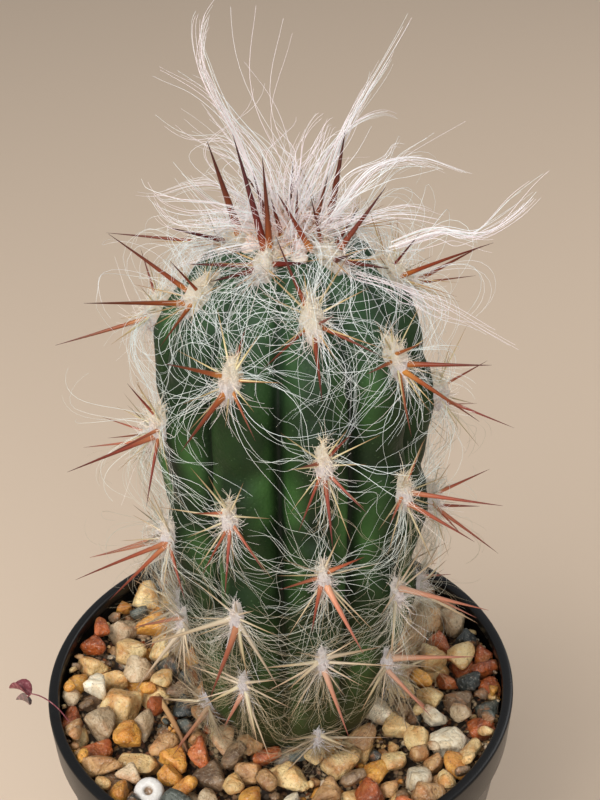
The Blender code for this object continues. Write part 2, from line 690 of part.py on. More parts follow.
class Gravel:
    """The bed of small stones: its surface is the tops of many packed pebbles."""

    def __init__(self) -> None:
        chance = random.Random(7)
        self.stones = []
        for _ in range(260):
            radius = 38.5 * math.sqrt(chance.random())
            turn = chance.uniform(0, 2 * math.pi)
            size = chance.uniform(2.4, 4.2)
            spot = (radius * math.cos(turn), radius * math.sin(turn))
            self.stones.append((*spot, size, GRAVEL_TOP + chance.uniform(-1.2, 0.6)))
        self.tree = None

    def top(self, x: float, y: float) -> float:
        """The height of the bed's surface."""
        height = GRAVEL_TOP - 2.0
        for sx, sy, size, level in self.stones:
            reach = ((x - sx) ** 2 + (y - sy) ** 2) / size**2
            if reach < 1:
                height = max(height, level - size * 0.55 + size * 0.8 * math.sqrt(1 - reach))
        return min(height, GRAVEL_TOP + 2.6)

    def skin_at(self, x: float, y: float) -> float:
        """The height of the bed's own faces, once it is built."""
        return self.tree.ray_cast(Vector((x, y, RIM_HEIGHT)), Vector((0, 0, -1)))[0].z

    def build(self) -> None:
        """A closed ring of gravel round the stem's foot, inside the pot's wall."""
        bm = bmesh.new()
        middle = axis_at(GRAVEL_TOP)
        inner = envelope(GRAVEL_BOTTOM) - 3
        rings = []
        for step in range(GRAVEL_RINGS + 1):
            share = step / GRAVEL_RINGS
            ring = []
            for k in range(GRAVEL_SIDES):
                turn = 2 * math.pi * k / GRAVEL_SIDES
                way = Vector((math.cos(turn), math.sin(turn), 0))
                start = Vector((middle.x, middle.y, 0)) + way * inner
                end = way * (inner_radius(SOIL_TOP + 3) - SEAT_GAP)
                spot = start.lerp(end, share)
                ring.append(bm.verts.new((spot.x, spot.y, self.top(spot.x, spot.y))))
            rings.append(ring)
        bottom_out = []
        bottom_in = []
        for k in range(GRAVEL_SIDES):
            turn = 2 * math.pi * k / GRAVEL_SIDES
            way = Vector((math.cos(turn), math.sin(turn), 0))
            out = way * (inner_radius(GRAVEL_BOTTOM) - SEAT_GAP)
            bottom_out.append(bm.verts.new((out.x, out.y, GRAVEL_BOTTOM)))
            near = Vector((middle.x, middle.y, 0)) + way * inner
            bottom_in.append(bm.verts.new((near.x, near.y, GRAVEL_BOTTOM)))
        loops = [bottom_in, *rings, bottom_out, bottom_in]
        for lower, upper in zip(loops, loops[1:]):
            bridge(bm, lower, upper)
        self.tree = BVHTree.FromBMesh(bm)
        bed = add_object("gravel_bed", bm, material("gravel", (0.52, 0.40, 0.28), 0.6))
        pockets = [build_pebble(pebble, SEAT_GAP) for pebble in PEBBLES]
        cut_away(bed, [foot_cutter("foot_cutter"), *pockets])


def build_pebble(pebble: tuple, grow: float) -> bpy.types.Object:
    """One stone of its own, or the pocket that it lies in where grow is more than 0."""
    name, x, y, long, wide, high, turn, colour = pebble
    chance = random.Random(name)
    bm = bmesh.new()
    bmesh.ops.create_icosphere(bm, subdivisions=2, radius=1)
    way = math.radians(turn)
    for vert in bm.verts:
        dent = 1 + 0.10 * math.sin(3 * vert.co.x + chance.random() * 0.2) * math.cos(2.5 * vert.co.y + 1)
        shape = Vector((vert.co.x * long, vert.co.y * wide, vert.co.z * high)) * dent
        shape += shape.normalized() * grow
        vert.co = (
            x + shape.x * math.cos(way) - shape.y * math.sin(way),
            y + shape.x * math.sin(way) + shape.y * math.cos(way),
            PEBBLE_LIFT + shape.z,
        )
    label = name if grow == 0 else name + "_pocket"
    return add_object(label, bm, material(name, colour, 0.5))


def main() -> None:
    """Builds every piece in its place."""
    clear_scene()
    build_pot()
    build_soil()
    gravel = Gravel()
    gravel.build()
    for pebble in PEBBLES:
        build_pebble(pebble, 0)
    build_stem()
    tufts = tuft_paths()
    room = SpineRoom(tufts)
    build_crown(room)
    for index in range(len(EVEN_AREOLES)):
        for rib in range(RIBS):
            if rib % 2 == 1 or index > 0:
                build_areole(rib, index, areoles_of(rib)[index], room)
    build_hair_tufts(tufts)
    build_seedling(gravel)
    build_fallen_spine(gravel)


main()
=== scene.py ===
"""Looks of a young old man of the andes cactus in a round nursery pot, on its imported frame.

Sizes in the classes are millimetres and MM turns them into metres. A bearing is the direction
round the plant from the front (-Y) towards +X, in degrees. Heights are above the surface that
the pot stands on.
"""

import logging
import math
from collections.abc import Callable
from dataclasses import dataclass
from enum import Enum
from typing import ClassVar

import bmesh
import bpy
import numpy as np
from bpy.types import Material, Mesh, Object
from mathutils import Matrix, Vector

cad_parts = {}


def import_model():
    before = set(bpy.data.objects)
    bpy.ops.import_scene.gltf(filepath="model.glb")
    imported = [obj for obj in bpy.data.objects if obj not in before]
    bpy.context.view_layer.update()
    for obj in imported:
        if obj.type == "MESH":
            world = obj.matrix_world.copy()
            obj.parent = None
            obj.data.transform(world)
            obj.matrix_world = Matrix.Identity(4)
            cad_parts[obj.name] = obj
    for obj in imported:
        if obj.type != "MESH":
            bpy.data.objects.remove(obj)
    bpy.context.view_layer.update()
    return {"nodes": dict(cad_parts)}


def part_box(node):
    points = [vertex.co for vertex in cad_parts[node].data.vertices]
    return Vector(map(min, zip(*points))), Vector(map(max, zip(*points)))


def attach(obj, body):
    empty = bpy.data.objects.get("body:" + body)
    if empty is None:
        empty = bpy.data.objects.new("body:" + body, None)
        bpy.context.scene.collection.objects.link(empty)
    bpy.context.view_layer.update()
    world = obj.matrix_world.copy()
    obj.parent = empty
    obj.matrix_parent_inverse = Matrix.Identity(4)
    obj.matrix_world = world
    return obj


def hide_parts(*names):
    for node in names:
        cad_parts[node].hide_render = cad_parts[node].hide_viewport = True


MM = 0.001
TURN = 2 * math.pi
GOLDEN = 2.39996  # a turn that spreads spots evenly over a disc
ROOT = "root"
ROWS = 64  # how many separate finishes the strands of one piece can show
UP = np.array([0, 0, 1.0])
SHED_ENDS = ((-22.9, -0.6), (-17.0, -15.2))  # where the shed spine lies
log = logging.getLogger("potted_cactus")
dice = np.random.default_rng

Array = np.ndarray
Colour = tuple[float, float, float, float]
Spot = tuple[float, float, float]
Socket = bpy.types.NodeSocket
VECTOR = "FLOAT_VECTOR"


def rgb(*values: float) -> Colour:
    """A colour given as 0 to 255 screen values, in linear light."""
    shares = [value / 255 for value in values]
    linear = [share / 12.92 if share <= 0.04045 else ((share + 0.055) / 1.055) ** 2.4 for share in shares]
    return (*linear, 1.0)


# ---- node trees


class Graph:
    """A node tree with one short way to add a node."""

    def __init__(self, tree: bpy.types.NodeTree) -> None:
        """Keeps the tree that nodes are added to."""
        self.tree = tree

    def node(self, kind: str, inputs: dict | None = None, **settings: object) -> bpy.types.Node:
        """Adds a node.

        Args:
            kind: The node's type name.
            inputs: Input name or number to a value, or to the socket that feeds it.
            **settings: The node's own properties.

        Returns:
            The node.
        """
        made = self.tree.nodes.new(kind)
        for name, value in settings.items():
            setattr(made, name, value)
        for name, value in (inputs or {}).items():
            self.feed(made.inputs[name], value)
        return made

    def feed(self, socket: Socket, value: object) -> None:
        """Sets a socket, or links it where the value is a socket too."""
        if isinstance(value, Socket):
            self.tree.links.new(value, socket)
        else:
            socket.default_value = value

    def out(self, kind: str, inputs: dict | None = None, **settings: object) -> Socket:
        """Adds a node and gives its first output."""
        return self.node(kind, inputs, **settings).outputs[0]

    def math(self, operation: str, first: object, second: object = 0.0, third: float = 0.5) -> Socket:
        """The result of one sum on numbers or sockets."""
        return self.out("ShaderNodeMath", {0: first, 1: second, 2: third}, operation=operation)

    def vectors(self, operation: str, inputs: dict) -> Socket:
        """The result of one sum on vectors."""
        return self.out("ShaderNodeVectorMath", inputs, operation=operation)


class Paint(Graph):
    """A material's graph around one Principled shader."""

    def __init__(self, name: str) -> None:
        """Starts an empty material with a Principled shader."""
        self.material = bpy.data.materials.new(name)
        self.material.use_nodes = True
        super().__init__(self.material.node_tree)

    def dressed(self, **values: object) -> Material:
        """The material, once the shader's inputs, named with underscores for spaces, are fed."""
        shader = self.tree.nodes["Principled BSDF"]
        for name, value in values.items():
            self.feed(shader.inputs[name.replace("_", " ").title().replace("Ior", "IOR")], value)
        return self.material

    def place(self) -> Socket:
        """Object coordinates."""
        return self.node("ShaderNodeTexCoord").outputs["Object"]

    def attribute(self, name: str) -> Socket:
        """A value stored on the mesh."""
        return self.node("ShaderNodeAttribute", attribute_name=name).outputs["Fac"]

    def noise(
        self, scale: float, detail: float, rough: float = 0.5, at: Socket | None = None, warp: float = 0.0
    ) -> Socket:
        """Noise from 0 to 1.

        Args:
            scale: Waves to the metre.
            detail: Finer layers added.
            rough: Strength of the finer layers.
            at: Where it is read; object coordinates if left out.
            warp: How much it is warped.

        Returns:
            The noise's value.
        """
        inputs = {"Scale": scale, "Detail": detail, "Roughness": rough, "Distortion": warp}
        return self.out("ShaderNodeTexNoise", inputs | {"Vector": at or self.place()})

    def chance(self, seed: Socket) -> Socket:
        """A number from 0 to 1 that goes with another number."""
        return self.out("ShaderNodeTexWhiteNoise", {"W": seed}, noise_dimensions="1D")

    def ramp(self, value: Socket, stops: list[tuple[float, Colour]], way: str = "LINEAR") -> Socket:
        """A colour picked along a row of stops.

        Args:
            value: What is looked up.
            stops: Places from 0 to 1, each with its colour.
            way: How the colour runs between two stops.

        Returns:
            The colour.
        """
        picked = self.out("ShaderNodeValToRGB", {"Fac": value})
        scale = picked.node.color_ramp
        scale.interpolation = way
        while len(scale.elements) < len(stops):
            scale.elements.new(0.5)
        for element, (at, colour) in zip(scale.elements, stops):
            element.position, element.color = at, colour
        return picked

    def grade(self, value: Socket, low: float, high: float, start: float = 0, end: float = 1) -> Socket:
        """A value moved from one range to another and held inside it."""
        inputs = {"Value": value, "From Min": low, "From Max": high, "To Min": start, "To Max": end}
        return self.out("ShaderNodeMapRange", inputs)

    def mix(self, factor: object, first: object, second: object, blend: str = "MIX") -> Socket:
        """Two colours mixed."""
        inputs = {0: factor, 6: first, 7: second}
        return self.node("ShaderNodeMix", inputs, data_type="RGBA", blend_type=blend).outputs[2]

    def layers(self, body: object, *layers: tuple) -> Socket:
        """Lays colours over one another.

        Args:
            body: The colour below them.
            *layers: Each a colour and its mask, or a colour, a value and the range that grades it.

        Returns:
            The colour that shows.
        """
        for colour, mask, *span in layers:
            body = self.mix(self.grade(mask, *span) if span else mask, body, colour)
        return body

    def both(self, first: Socket, second: Socket) -> Socket:
        """One mask times another."""
        return self.math("MULTIPLY", first, second)

    def bump(self, height: Socket, depth: float, strength: float = 1, below: Socket | None = None) -> Socket:
        """A normal bent by a height in metres times depth."""
        inputs = {"Height": height, "Distance": depth, "Strength": strength}
        return self.out("ShaderNodeBump", inputs | ({"Normal": below} if below else {}))


class Recipe(Graph):
    """A geometry node tree with named inputs, and the way it is run on a guide object."""

    def __init__(self, name: str) -> None:
        """Starts a tree that takes and gives geometry.

        Args:
            name: The tree's name.
        """
        super().__init__(bpy.data.node_groups.new(name, "GeometryNodeTree"))
        for way in ("INPUT", "OUTPUT"):
            self.tree.interface.new_socket("Geometry", in_out=way, socket_type="NodeSocketGeometry")
        self.start = self.tree.nodes.new("NodeGroupInput")
        self.end = self.tree.nodes.new("NodeGroupOutput")
        self.labels: dict[str, str] = {}

    def setting(self, label: str, kind: str) -> Socket:
        """Adds a named input and returns the socket that gives its value."""
        item = self.tree.interface.new_socket(label, in_out="INPUT", socket_type="NodeSocket" + kind)
        self.labels[label] = item.identifier
        return self.start.outputs[label]

    def stored(self, name: str, kind: str = "FLOAT") -> Socket:
        """Reads an attribute of the geometry."""
        return self.out("GeometryNodeInputNamedAttribute", {"Name": name}, data_type=kind)

    def store(self, geometry: Socket, name: str, value: Socket, kind: str, domain: str) -> Socket:
        """Writes an attribute on the geometry."""
        inputs = {"Geometry": geometry, "Name": name, "Value": value}
        return self.out("GeometryNodeStoreNamedAttribute", inputs, data_type=kind, domain=domain)

    def close(self, geometry: Socket, finish: Socket) -> None:
        """Ends the tree with real geometry in its material."""
        real = self.out("GeometryNodeRealizeInstances", {"Geometry": geometry})
        shaded = self.out("GeometryNodeSetShadeSmooth", {"Geometry": real})
        dressed = self.out("GeometryNodeSetMaterial", {"Geometry": shaded, "Material": finish})
        self.feed(self.end.inputs[0], dressed)

    def run(self, guide: Object, name: str, values: dict[str, object]) -> Object:
        """Runs the tree on a guide and replaces the guide with the plain mesh it gives.

        Args:
            guide: The object whose mesh feeds the tree.
            name: The finished piece's name.
            values: Each named input's value.

        Returns:
            The finished piece, at the origin.
        """
        modifier = guide.modifiers.new(name, "NODES")
        modifier.node_group = self.tree
        for label, value in values.items():
            modifier[self.labels[label]] = value
        mesh = plain_mesh(guide)
        guide.modifiers.remove(modifier)
        bpy.data.objects.remove(guide)
        return add_piece(name, mesh)


class StrandRecipe(Recipe):
    """Turns guide lines into closed tapered strands, with a map whose rows pick their finish."""

    def __init__(self) -> None:
        """Builds the tree: guide lines, a small ring swept along them, and the map."""
        super().__init__("strands")
        sides, rows = self.setting("Sides", "Int"), self.setting("Rows", "Float")
        finish = self.setting("Finish", "Material")
        lines = self.out("GeometryNodeMeshToCurve", {"Mesh": self.start.outputs["Geometry"]})
        ring = self.out("GeometryNodeCurvePrimitiveCircle", {"Resolution": sides, "Radius": MM})
        ring = self.store(ring, "around", self.out("GeometryNodeSplineParameter"), "FLOAT", "POINT")
        inputs = {"Curve": lines, "Profile Curve": ring, "Scale": self.stored("thickness"), "Fill Caps": True}
        swept = self.out("GeometryNodeCurveToMesh", inputs)
        fold = self.math("PINGPONG", self.stored("around"), 0.5)
        inside = self.math("MULTIPLY_ADD", fold, 1.2, 0.2)
        across = self.math("DIVIDE", self.math("ADD", self.stored("row"), inside), rows)
        spot = self.out("ShaderNodeCombineXYZ", {"X": self.stored("along"), "Y": across})
        self.close(self.store(swept, "OFBake", spot, "FLOAT2", "CORNER"), finish)


class StoneRecipe(Recipe):
    """Sets stones on points, each with its own size, turn, colour and cell of the map."""

    def __init__(self) -> None:
        """Builds the tree: points, a stone from the set on each, and the map."""
        super().__init__("stones")
        shapes, cells = self.setting("Shapes", "Collection"), self.setting("Cells", "Float")
        finish = self.setting("Finish", "Material")
        inputs = {"Collection": shapes, "Separate Children": True, "Reset Children": True}
        choices = self.out("GeometryNodeCollectionInfo", inputs)
        turn = self.stored("turn", VECTOR)
        inputs = {
            "Points": self.start.outputs["Geometry"],
            "Instance": choices,
            "Pick Instance": True,
            "Rotation": self.out("FunctionNodeEulerToRotation", {"Euler": turn}),
            "Instance Index": self.stored("shape", "INT"),
            "Scale": self.stored("size", VECTOR),
        }
        laid = self.out("GeometryNodeInstanceOnPoints", inputs)
        real = self.out("GeometryNodeRealizeInstances", {"Geometry": laid})
        parts = {0: self.stored("patch", VECTOR), 1: self.stored("cell", VECTOR)}
        share = self.math("DIVIDE", 1.0, cells)
        spot = self.vectors("SCALE", {0: self.vectors("ADD", parts), "Scale": share})
        self.close(self.store(real, "OFBake", spot, "FLOAT2", "CORNER"), finish)


class ReliefRecipe(Recipe):
    """Moves a skin along its normals by soft noise, so that no grown surface is perfectly even."""

    def __init__(self) -> None:
        """Builds the tree: noise at each point, centred on nothing, times the normal."""
        super().__init__("relief")
        depth, scale, seed = (self.setting(label, "Float") for label in ("Depth", "Scale", "Seed"))
        finish = self.setting("Finish", "Material")
        inputs = {"Scale": scale, "W": seed, "Detail": 3.0, "Roughness": 0.45}
        noise = self.out("ShaderNodeTexNoise", inputs, noise_dimensions="4D")
        push = self.math("MULTIPLY", self.math("SUBTRACT", noise, 0.5), depth)
        offset = self.vectors("SCALE", {0: self.out("GeometryNodeInputNormal"), "Scale": push})
        inputs = {"Geometry": self.start.outputs["Geometry"], "Offset": offset}
        self.close(self.out("GeometryNodeSetPosition", inputs), finish)


# ---- meshes


def add_piece(name: str, mesh: Mesh) -> Object:
    """Puts a mesh in the scene as an object at the origin."""
    mesh.name = name
    piece = bpy.data.objects.new(name, mesh)
    bpy.context.scene.collection.objects.link(piece)
    return piece


def plain_mesh(piece: Object) -> Mesh:
    """A mesh of an object with its modifiers applied."""
    ready = bpy.context.evaluated_depsgraph_get()
    found = piece.evaluated_get(ready)
    return bpy.data.meshes.new_from_object(found, preserve_all_data_layers=True, depsgraph=ready)


def mesh_of(points: Array, faces: list, edges: list | None = None) -> Mesh:
    """A mesh in metres from points in millimetres."""
    mesh = bpy.data.meshes.new("made")
    mesh.from_pydata((np.asarray(points) * MM).tolist(), edges or [], faces)
    mesh.shade_smooth()
    return mesh


def mesh_from(bm: bmesh.types.BMesh) -> Mesh:
    """A mesh in place of a finished bmesh."""
    mesh = bpy.data.meshes.new("made")
    bm.to_mesh(mesh)
    bm.free()
    mesh.shade_smooth()
    return mesh


def moved(mesh: Mesh, to: Spot, **turns: float) -> Mesh:
    """Turns a mesh by degrees about the named axes in turn, then moves it."""
    for axis, degrees in turns.items():
        mesh.transform(Matrix.Rotation(math.radians(degrees), 4, axis))
    mesh.transform(Matrix.Translation(Vector(to) * MM))
    return mesh


def store_on(mesh: Mesh, name: str, values: Array, kind: str = "FLOAT") -> None:
    """Stores one value, or one vector, for each point of a mesh."""
    made, field = mesh.attributes.new(name, kind, "POINT"), "vector" if kind == VECTOR else "value"
    made.data.foreach_set(field, np.ascontiguousarray(values).ravel())


def around(sides: int) -> Array:
    """Level directions at even steps round the Z axis."""
    turns = np.arange(sides) * TURN / sides
    return np.stack([np.cos(turns), np.sin(turns)], -1)


def grid_faces(rows: int, columns: int) -> list[tuple[int, ...]]:
    """Faces between rows of points that close round on themselves.

    Args:
        rows: How many rows.
        columns: Points in each.

    Returns:
        Four points for each face.
    """
    faces = []
    for low in range(0, (rows - 1) * columns, columns):
        for column in range(columns):
            after = (column + 1) % columns
            faces.append((low + column, low + after, low + columns + after, low + columns + column))
    return faces


def lathe(outline: list[tuple[float, float]], sides: int) -> Mesh:
    """Spins an outline round the Z axis.

    Args:
        outline: Radius and height of each point, with 0 as the first and last radius.
        sides: Steps round the axis.

    Returns:
        A closed mesh in metres, its faces turned outwards.
    """
    ring = around(sides)
    rows = [np.column_stack([ring * radius, np.full(sides, height)]) for radius, height in outline[1:-1]]
    faces = grid_faces(len(rows), sides)
    first = len(rows) * sides
    for column in range(sides):
        after = (column + 1) % sides
        faces += [(first, after, column), (first + 1, first - sides + column, first - sides + after)]
    return faced_out(mesh_of(np.vstack([*rows, [0, 0, outline[0][1]], [0, 0, outline[-1][1]]]), faces))


def faced_out(mesh: Mesh) -> Mesh:
    """Turns a closed mesh's faces outwards.

    Args:
        mesh: The mesh, with no doubled points.

    Returns:
        The same mesh.
    """
    bm = bmesh.new()
    bm.from_mesh(mesh)
    bmesh.ops.recalc_face_normals(bm, faces=bm.faces)
    bm.to_mesh(mesh)
    bm.free()
    return mesh


def joined(name: str, pieces: list[Object]) -> Object:
    """Joins objects at the origin into one, keeping their materials and maps.

    Args:
        name: The joined object's name.
        pieces: What is joined.

    Returns:
        The first of them, which now holds all.
    """
    bpy.ops.object.select_all(action="DESELECT")
    for piece in pieces:
        piece.select_set(True)
    bpy.context.view_layer.objects.active = pieces[0]
    bpy.ops.object.join()
    pieces[0].name = pieces[0].data.name = name
    return pieces[0]


def unit(vectors: Array) -> Array:
    """Vectors of length 1."""
    return vectors / np.maximum(np.linalg.norm(vectors, axis=-1, keepdims=True), 1e-9)


def level(turn: Array) -> Array:
    """Level directions at angles in radians from +X."""
    return np.stack([np.cos(turn), np.sin(turn), 0 * turn], -1)


def bent(base: Array, ways: Array, bends: Array, lengths: Array, steps: int) -> Array:
    """Lines that each leave a base along a way and bend off it more and more.

    Args:
        base: Where each line starts.
        ways: Its direction there.
        bends: How far it has bent off at its tip, beside its length.
        lengths: Its length.
        steps: Points along each.

    Returns:
        The lines' points.
    """
    share = np.linspace(0, 1, steps)[:, None]
    return base[:, None] + (ways[:, None] * share + bends[:, None] * share**2) * lengths[:, None, None]


def thinned(sizes: Array, steps: int, loss: float, power: float = 2) -> Array:
    """The thickness along strands that lose a share of it towards their tips."""
    return np.outer(sizes, 1 - loss * np.linspace(0, 1, steps) ** power)


@dataclass
class Strands:
    """Guide lines for hairs or spines, all with the same number of points."""

    points: Array
    thickness: Array
    rows: Array

    def piece(self, shop: "Workshop", name: str, sides: int, finish: str) -> Object:
        """Sweeps the lines into a finished piece.

        Args:
            shop: What it is made with.
            name: The piece's name.
            sides: Sides of each strand.
            finish: Its finish's name.

        Returns:
            The piece.
        """
        count, steps, _ = self.points.shape
        first = np.arange(count)[:, None] * steps + np.arange(steps - 1)
        edges = np.stack([first, first + 1], -1).reshape(-1, 2)
        mesh = mesh_of(self.points.reshape(-1, 3), [], edges.tolist())
        store_on(mesh, "thickness", self.thickness.ravel())
        store_on(mesh, "along", np.tile(np.linspace(0.01, 0.99, steps), count))
        store_on(mesh, "row", np.repeat(np.floor(np.clip(self.rows, 0, 0.999) * ROWS), steps))
        values = {"Sides": sides, "Rows": float(ROWS), "Finish": shop.finishes[finish]}
        return shop.strands.run(add_piece(name + "_guide", mesh), name, values)


def merged(parts: list[Strands]) -> Strands:
    """One set of strands out of several with as many points each."""
    sets = zip(*((part.points, part.thickness, part.rows) for part in parts))
    return Strands(*(np.concatenate(found) for found in sets))


def smooth_through(places: list[float], values: Array, at: Array) -> Array:
    """A smooth curve's values through given values at given places.

    Args:
        places: Where the curve's values are known, rising.
        values: One number, or one row of numbers, for each place.
        at: Where the curve is read.

    Returns:
        The values there.
    """
    places, values, at = np.asarray(places, float), np.asarray(values, float), np.asarray(at, float)
    last = len(places) - 1
    spot = np.arange(last + 1)
    before, after = np.maximum(spot - 1, 0), np.minimum(spot + 1, last)
    wide = values.ndim - 1
    run = (places[after] - places[before]).reshape((-1, *[1] * wide))
    slopes = (values[after] - values[before]) / run
    index = np.clip(np.searchsorted(places, at, side="right") - 1, 0, last - 1)
    width = np.asarray(places[index + 1] - places[index]).reshape((*at.shape, *[1] * wide))
    t = np.asarray(at - places[index]).reshape(width.shape) / width
    return (
        (2 * t**3 - 3 * t**2 + 1) * values[index]
        + (t**3 - 2 * t**2 + t) * width * slopes[index]
        + (3 * t**2 - 2 * t**3) * values[index + 1]
        + (t**3 - t**2) * width * slopes[index + 1]
    )


def heading(bearing: Array) -> Array:
    """The level direction of a bearing."""
    turn = np.radians(bearing)
    return np.stack([np.sin(turn), -np.cos(turn), np.zeros_like(turn)], -1)


def through(path: Array, share: Array) -> Array:
    """Points at shares of a smooth path through given points."""
    return smooth_through(list(range(len(path))), np.array(path), np.asarray(share) * (len(path) - 1))


# ---- the plant's form


@dataclass(frozen=True)
class Areole:
    """One areole: where it sits on its rib and which way it faces."""

    rib: int
    index: int
    height: float
    middle: Array
    normal: Array
    up: Array
    right: Array

    def way(self, clock: Array, lean: Array) -> Array:
        """Directions from the areole.

        Args:
            clock: Degrees clockwise from upwards, as seen facing the areole.
            lean: Degrees from straight out.

        Returns:
            One direction for each pair.
        """
        turn, tilt = np.radians(clock)[..., None], np.radians(lean)[..., None]
        flat = self.up * np.cos(turn) + self.right * np.sin(turn)
        return self.normal * np.cos(tilt) + flat * np.sin(tilt)

    def spread(self, right: Array, up: Array, out: Array) -> Array:
        """Offsets from the areole, each made of how far to its right, up its rib and out from it."""
        return np.outer(right, self.right) + np.outer(up, self.up) + np.outer(out, self.normal)


@dataclass(frozen=True)
class StemForm:
    """The stem's outer shape at any bearing and height."""

    foot: tuple[float, float] = (2.1, -3.1)
    lean: tuple[float, float] = (0.009, 0.011)
    root_tip: float = 47.0
    shoulder: float = 138.5
    apex: float = 164.8
    heights: tuple[float, ...] = (47.0, 55.0, 63.0, 70.0, 78.5, 90.0, 115.0, 138.5)
    radii: tuple[float, ...] = (1.6, 5.0, 8.5, 12.8, 17.2, 19.3, 21.5, 21.9)
    dome_power: float = 2.2
    ribs: int = 10
    first_bearing: float = -26.0
    rib_depth: float = 0.21
    ribs_begin: float = 66.0
    ribs_full: float = 88.0
    tubercle_rise: float = 1.3
    even_areoles: tuple[float, ...] = (163.4, 151.0, 128.0, 107.6, 92.0)
    odd_areoles: tuple[float, ...] = (158.6, 138.4, 117.4, 98.8, 78.5)

    def axis(self, height: Array) -> Array:
        """The middle of the stem at a height."""
        height = np.asarray(height, float)
        across = [self.foot[k] + self.lean[k] * height for k in range(2)]
        return np.stack([*across, height], -1)

    def crest(self, height: Array) -> Array:
        """The radius over the rib crests."""
        rise = np.clip((height - self.shoulder) / (self.apex - self.shoulder), 0, 1)
        dome = self.radii[-1] * np.sqrt(np.maximum(0, 1 - rise**self.dome_power))
        return np.where(height <= self.shoulder, smooth_through(self.heights, self.radii, height), dome)

    def rib_bearing(self, rib: Array) -> Array:
        """The bearing of a rib's crest."""
        return self.first_bearing + 360 / self.ribs * rib

    def rib_place(self, bearing: Array) -> tuple[Array, Array]:
        """The nearest rib, and the share of a pitch from its crest, up to a half."""
        turn = (bearing - self.first_bearing) * self.ribs / 360
        rib = np.round(turn)
        return rib, np.abs(turn - rib)

    def ribbed(self, height: Array) -> Array:
        """How fully the ribs stand out at a height, from 0 at the foot to 1."""
        return np.clip((height - self.ribs_begin) / (self.ribs_full - self.ribs_begin), 0, 1)

    def furrow(self, across: Array, height: Array) -> Array:
        """The share of the crest radius that a furrow takes away."""
        hollow = 0.7 * (2 * across) ** 2 + 0.3 * (2 * across) ** 6
        return self.rib_depth * self.ribbed(height) * hollow

    def tubercle(self, rib: Array, across: Array, height: Array) -> Array:
        """How far a rib swells at its areoles, less the crease above each one.

        Args:
            rib: Each place's rib.
            across: Its share of a pitch from the crest.
            height: Its height.

        Returns:
            What is added to the radius.
        """
        swell = np.zeros(np.broadcast(rib, height).shape)
        for side, heights in enumerate((self.even_areoles, self.odd_areoles)):
            for areole in heights:
                bulge = np.exp(-(((height - areole + 1.5) / 5) ** 2))
                crease = 0.6 * np.exp(-(((height - areole - 6.0) / 2.4) ** 2))
                swell = swell + np.where(rib % 2 == side, bulge - crease, 0.0)
        size = self.tubercle_rise * self.ribbed(height) * self.crest(height) / self.radii[-1]
        return size * swell * np.maximum(0, 1 - (across / 0.4) ** 2)

    def radius(self, bearing: Array, height: Array) -> Array:
        """The skin's radius."""
        rib, across = self.rib_place(bearing)
        plain = self.crest(height) * (1 - self.furrow(across, height))
        return plain + self.tubercle(rib, across, height)

    def point(self, bearing: Array, height: Array) -> Array:
        """A point of the skin."""
        bearing, height = np.broadcast_arrays(np.asarray(bearing, float), np.asarray(height, float))
        return self.axis(height) + self.radius(bearing, height)[..., None] * heading(bearing)

    def clearance(self, points: Array, furrows: float = 1.0) -> Array:
        """How far points stand off the stem.

        Args:
            points: The points.
            furrows: 1 to measure from the ribbed skin, 0 from a smooth wrap over the crests.

        Returns:
            The distances, less than 0 inside.
        """
        height = points[..., 2]
        away = points[..., :2] - self.axis(height)[..., :2]
        reach = np.hypot(away[..., 0], away[..., 1])
        _, across = self.rib_place(np.degrees(np.arctan2(away[..., 0], -away[..., 1])))
        low = np.clip(height, self.root_tip, self.shoulder)
        wide = self.crest(low) * (1 - furrows * self.furrow(across, low))
        tall = self.apex - self.shoulder
        rise = np.maximum(height - self.shoulder, 0) / tall
        gauge = (reach / wide) ** 2 + rise**self.dome_power - 1
        slope = np.hypot(2 * reach / wide**2, self.dome_power * rise ** (self.dome_power - 1) / tall)
        return np.where(height <= self.shoulder, reach - wide, gauge / np.maximum(slope, 0.02))

    def outward(self, points: Array) -> Array:
        """The direction away from the stem's smooth wrap."""
        step = 0.4
        middle = self.clearance(points, 0)
        parts = [self.clearance(points + step * np.eye(3)[k], 0) - middle for k in range(3)]
        return unit(np.stack(parts, -1))

    def areole(self, rib: int, index: int) -> Areole:
        """One areole, with its own directions.

        Args:
            rib: Its rib.
            index: Its number on the rib, from the crown down.

        Returns:
            The areole.
        """
        height = (self.odd_areoles if rib % 2 else self.even_areoles)[index]
        bearing = self.rib_bearing(rib)
        top = min(height + 0.4, self.apex - 0.05)
        up = unit(self.point(bearing, top) - self.point(bearing, height - 0.4))
        right = np.array([math.cos(math.radians(bearing)), math.sin(math.radians(bearing)), 0])
        return Areole(rib, index, height, self.point(bearing, height), unit(np.cross(right, up)), up, right)

    def areoles(self, rib: int) -> list[Areole]:
        """A rib's areoles from the crown down."""
        return [self.areole(rib, index) for index in range(len(self.even_areoles))]


# ---- finishes


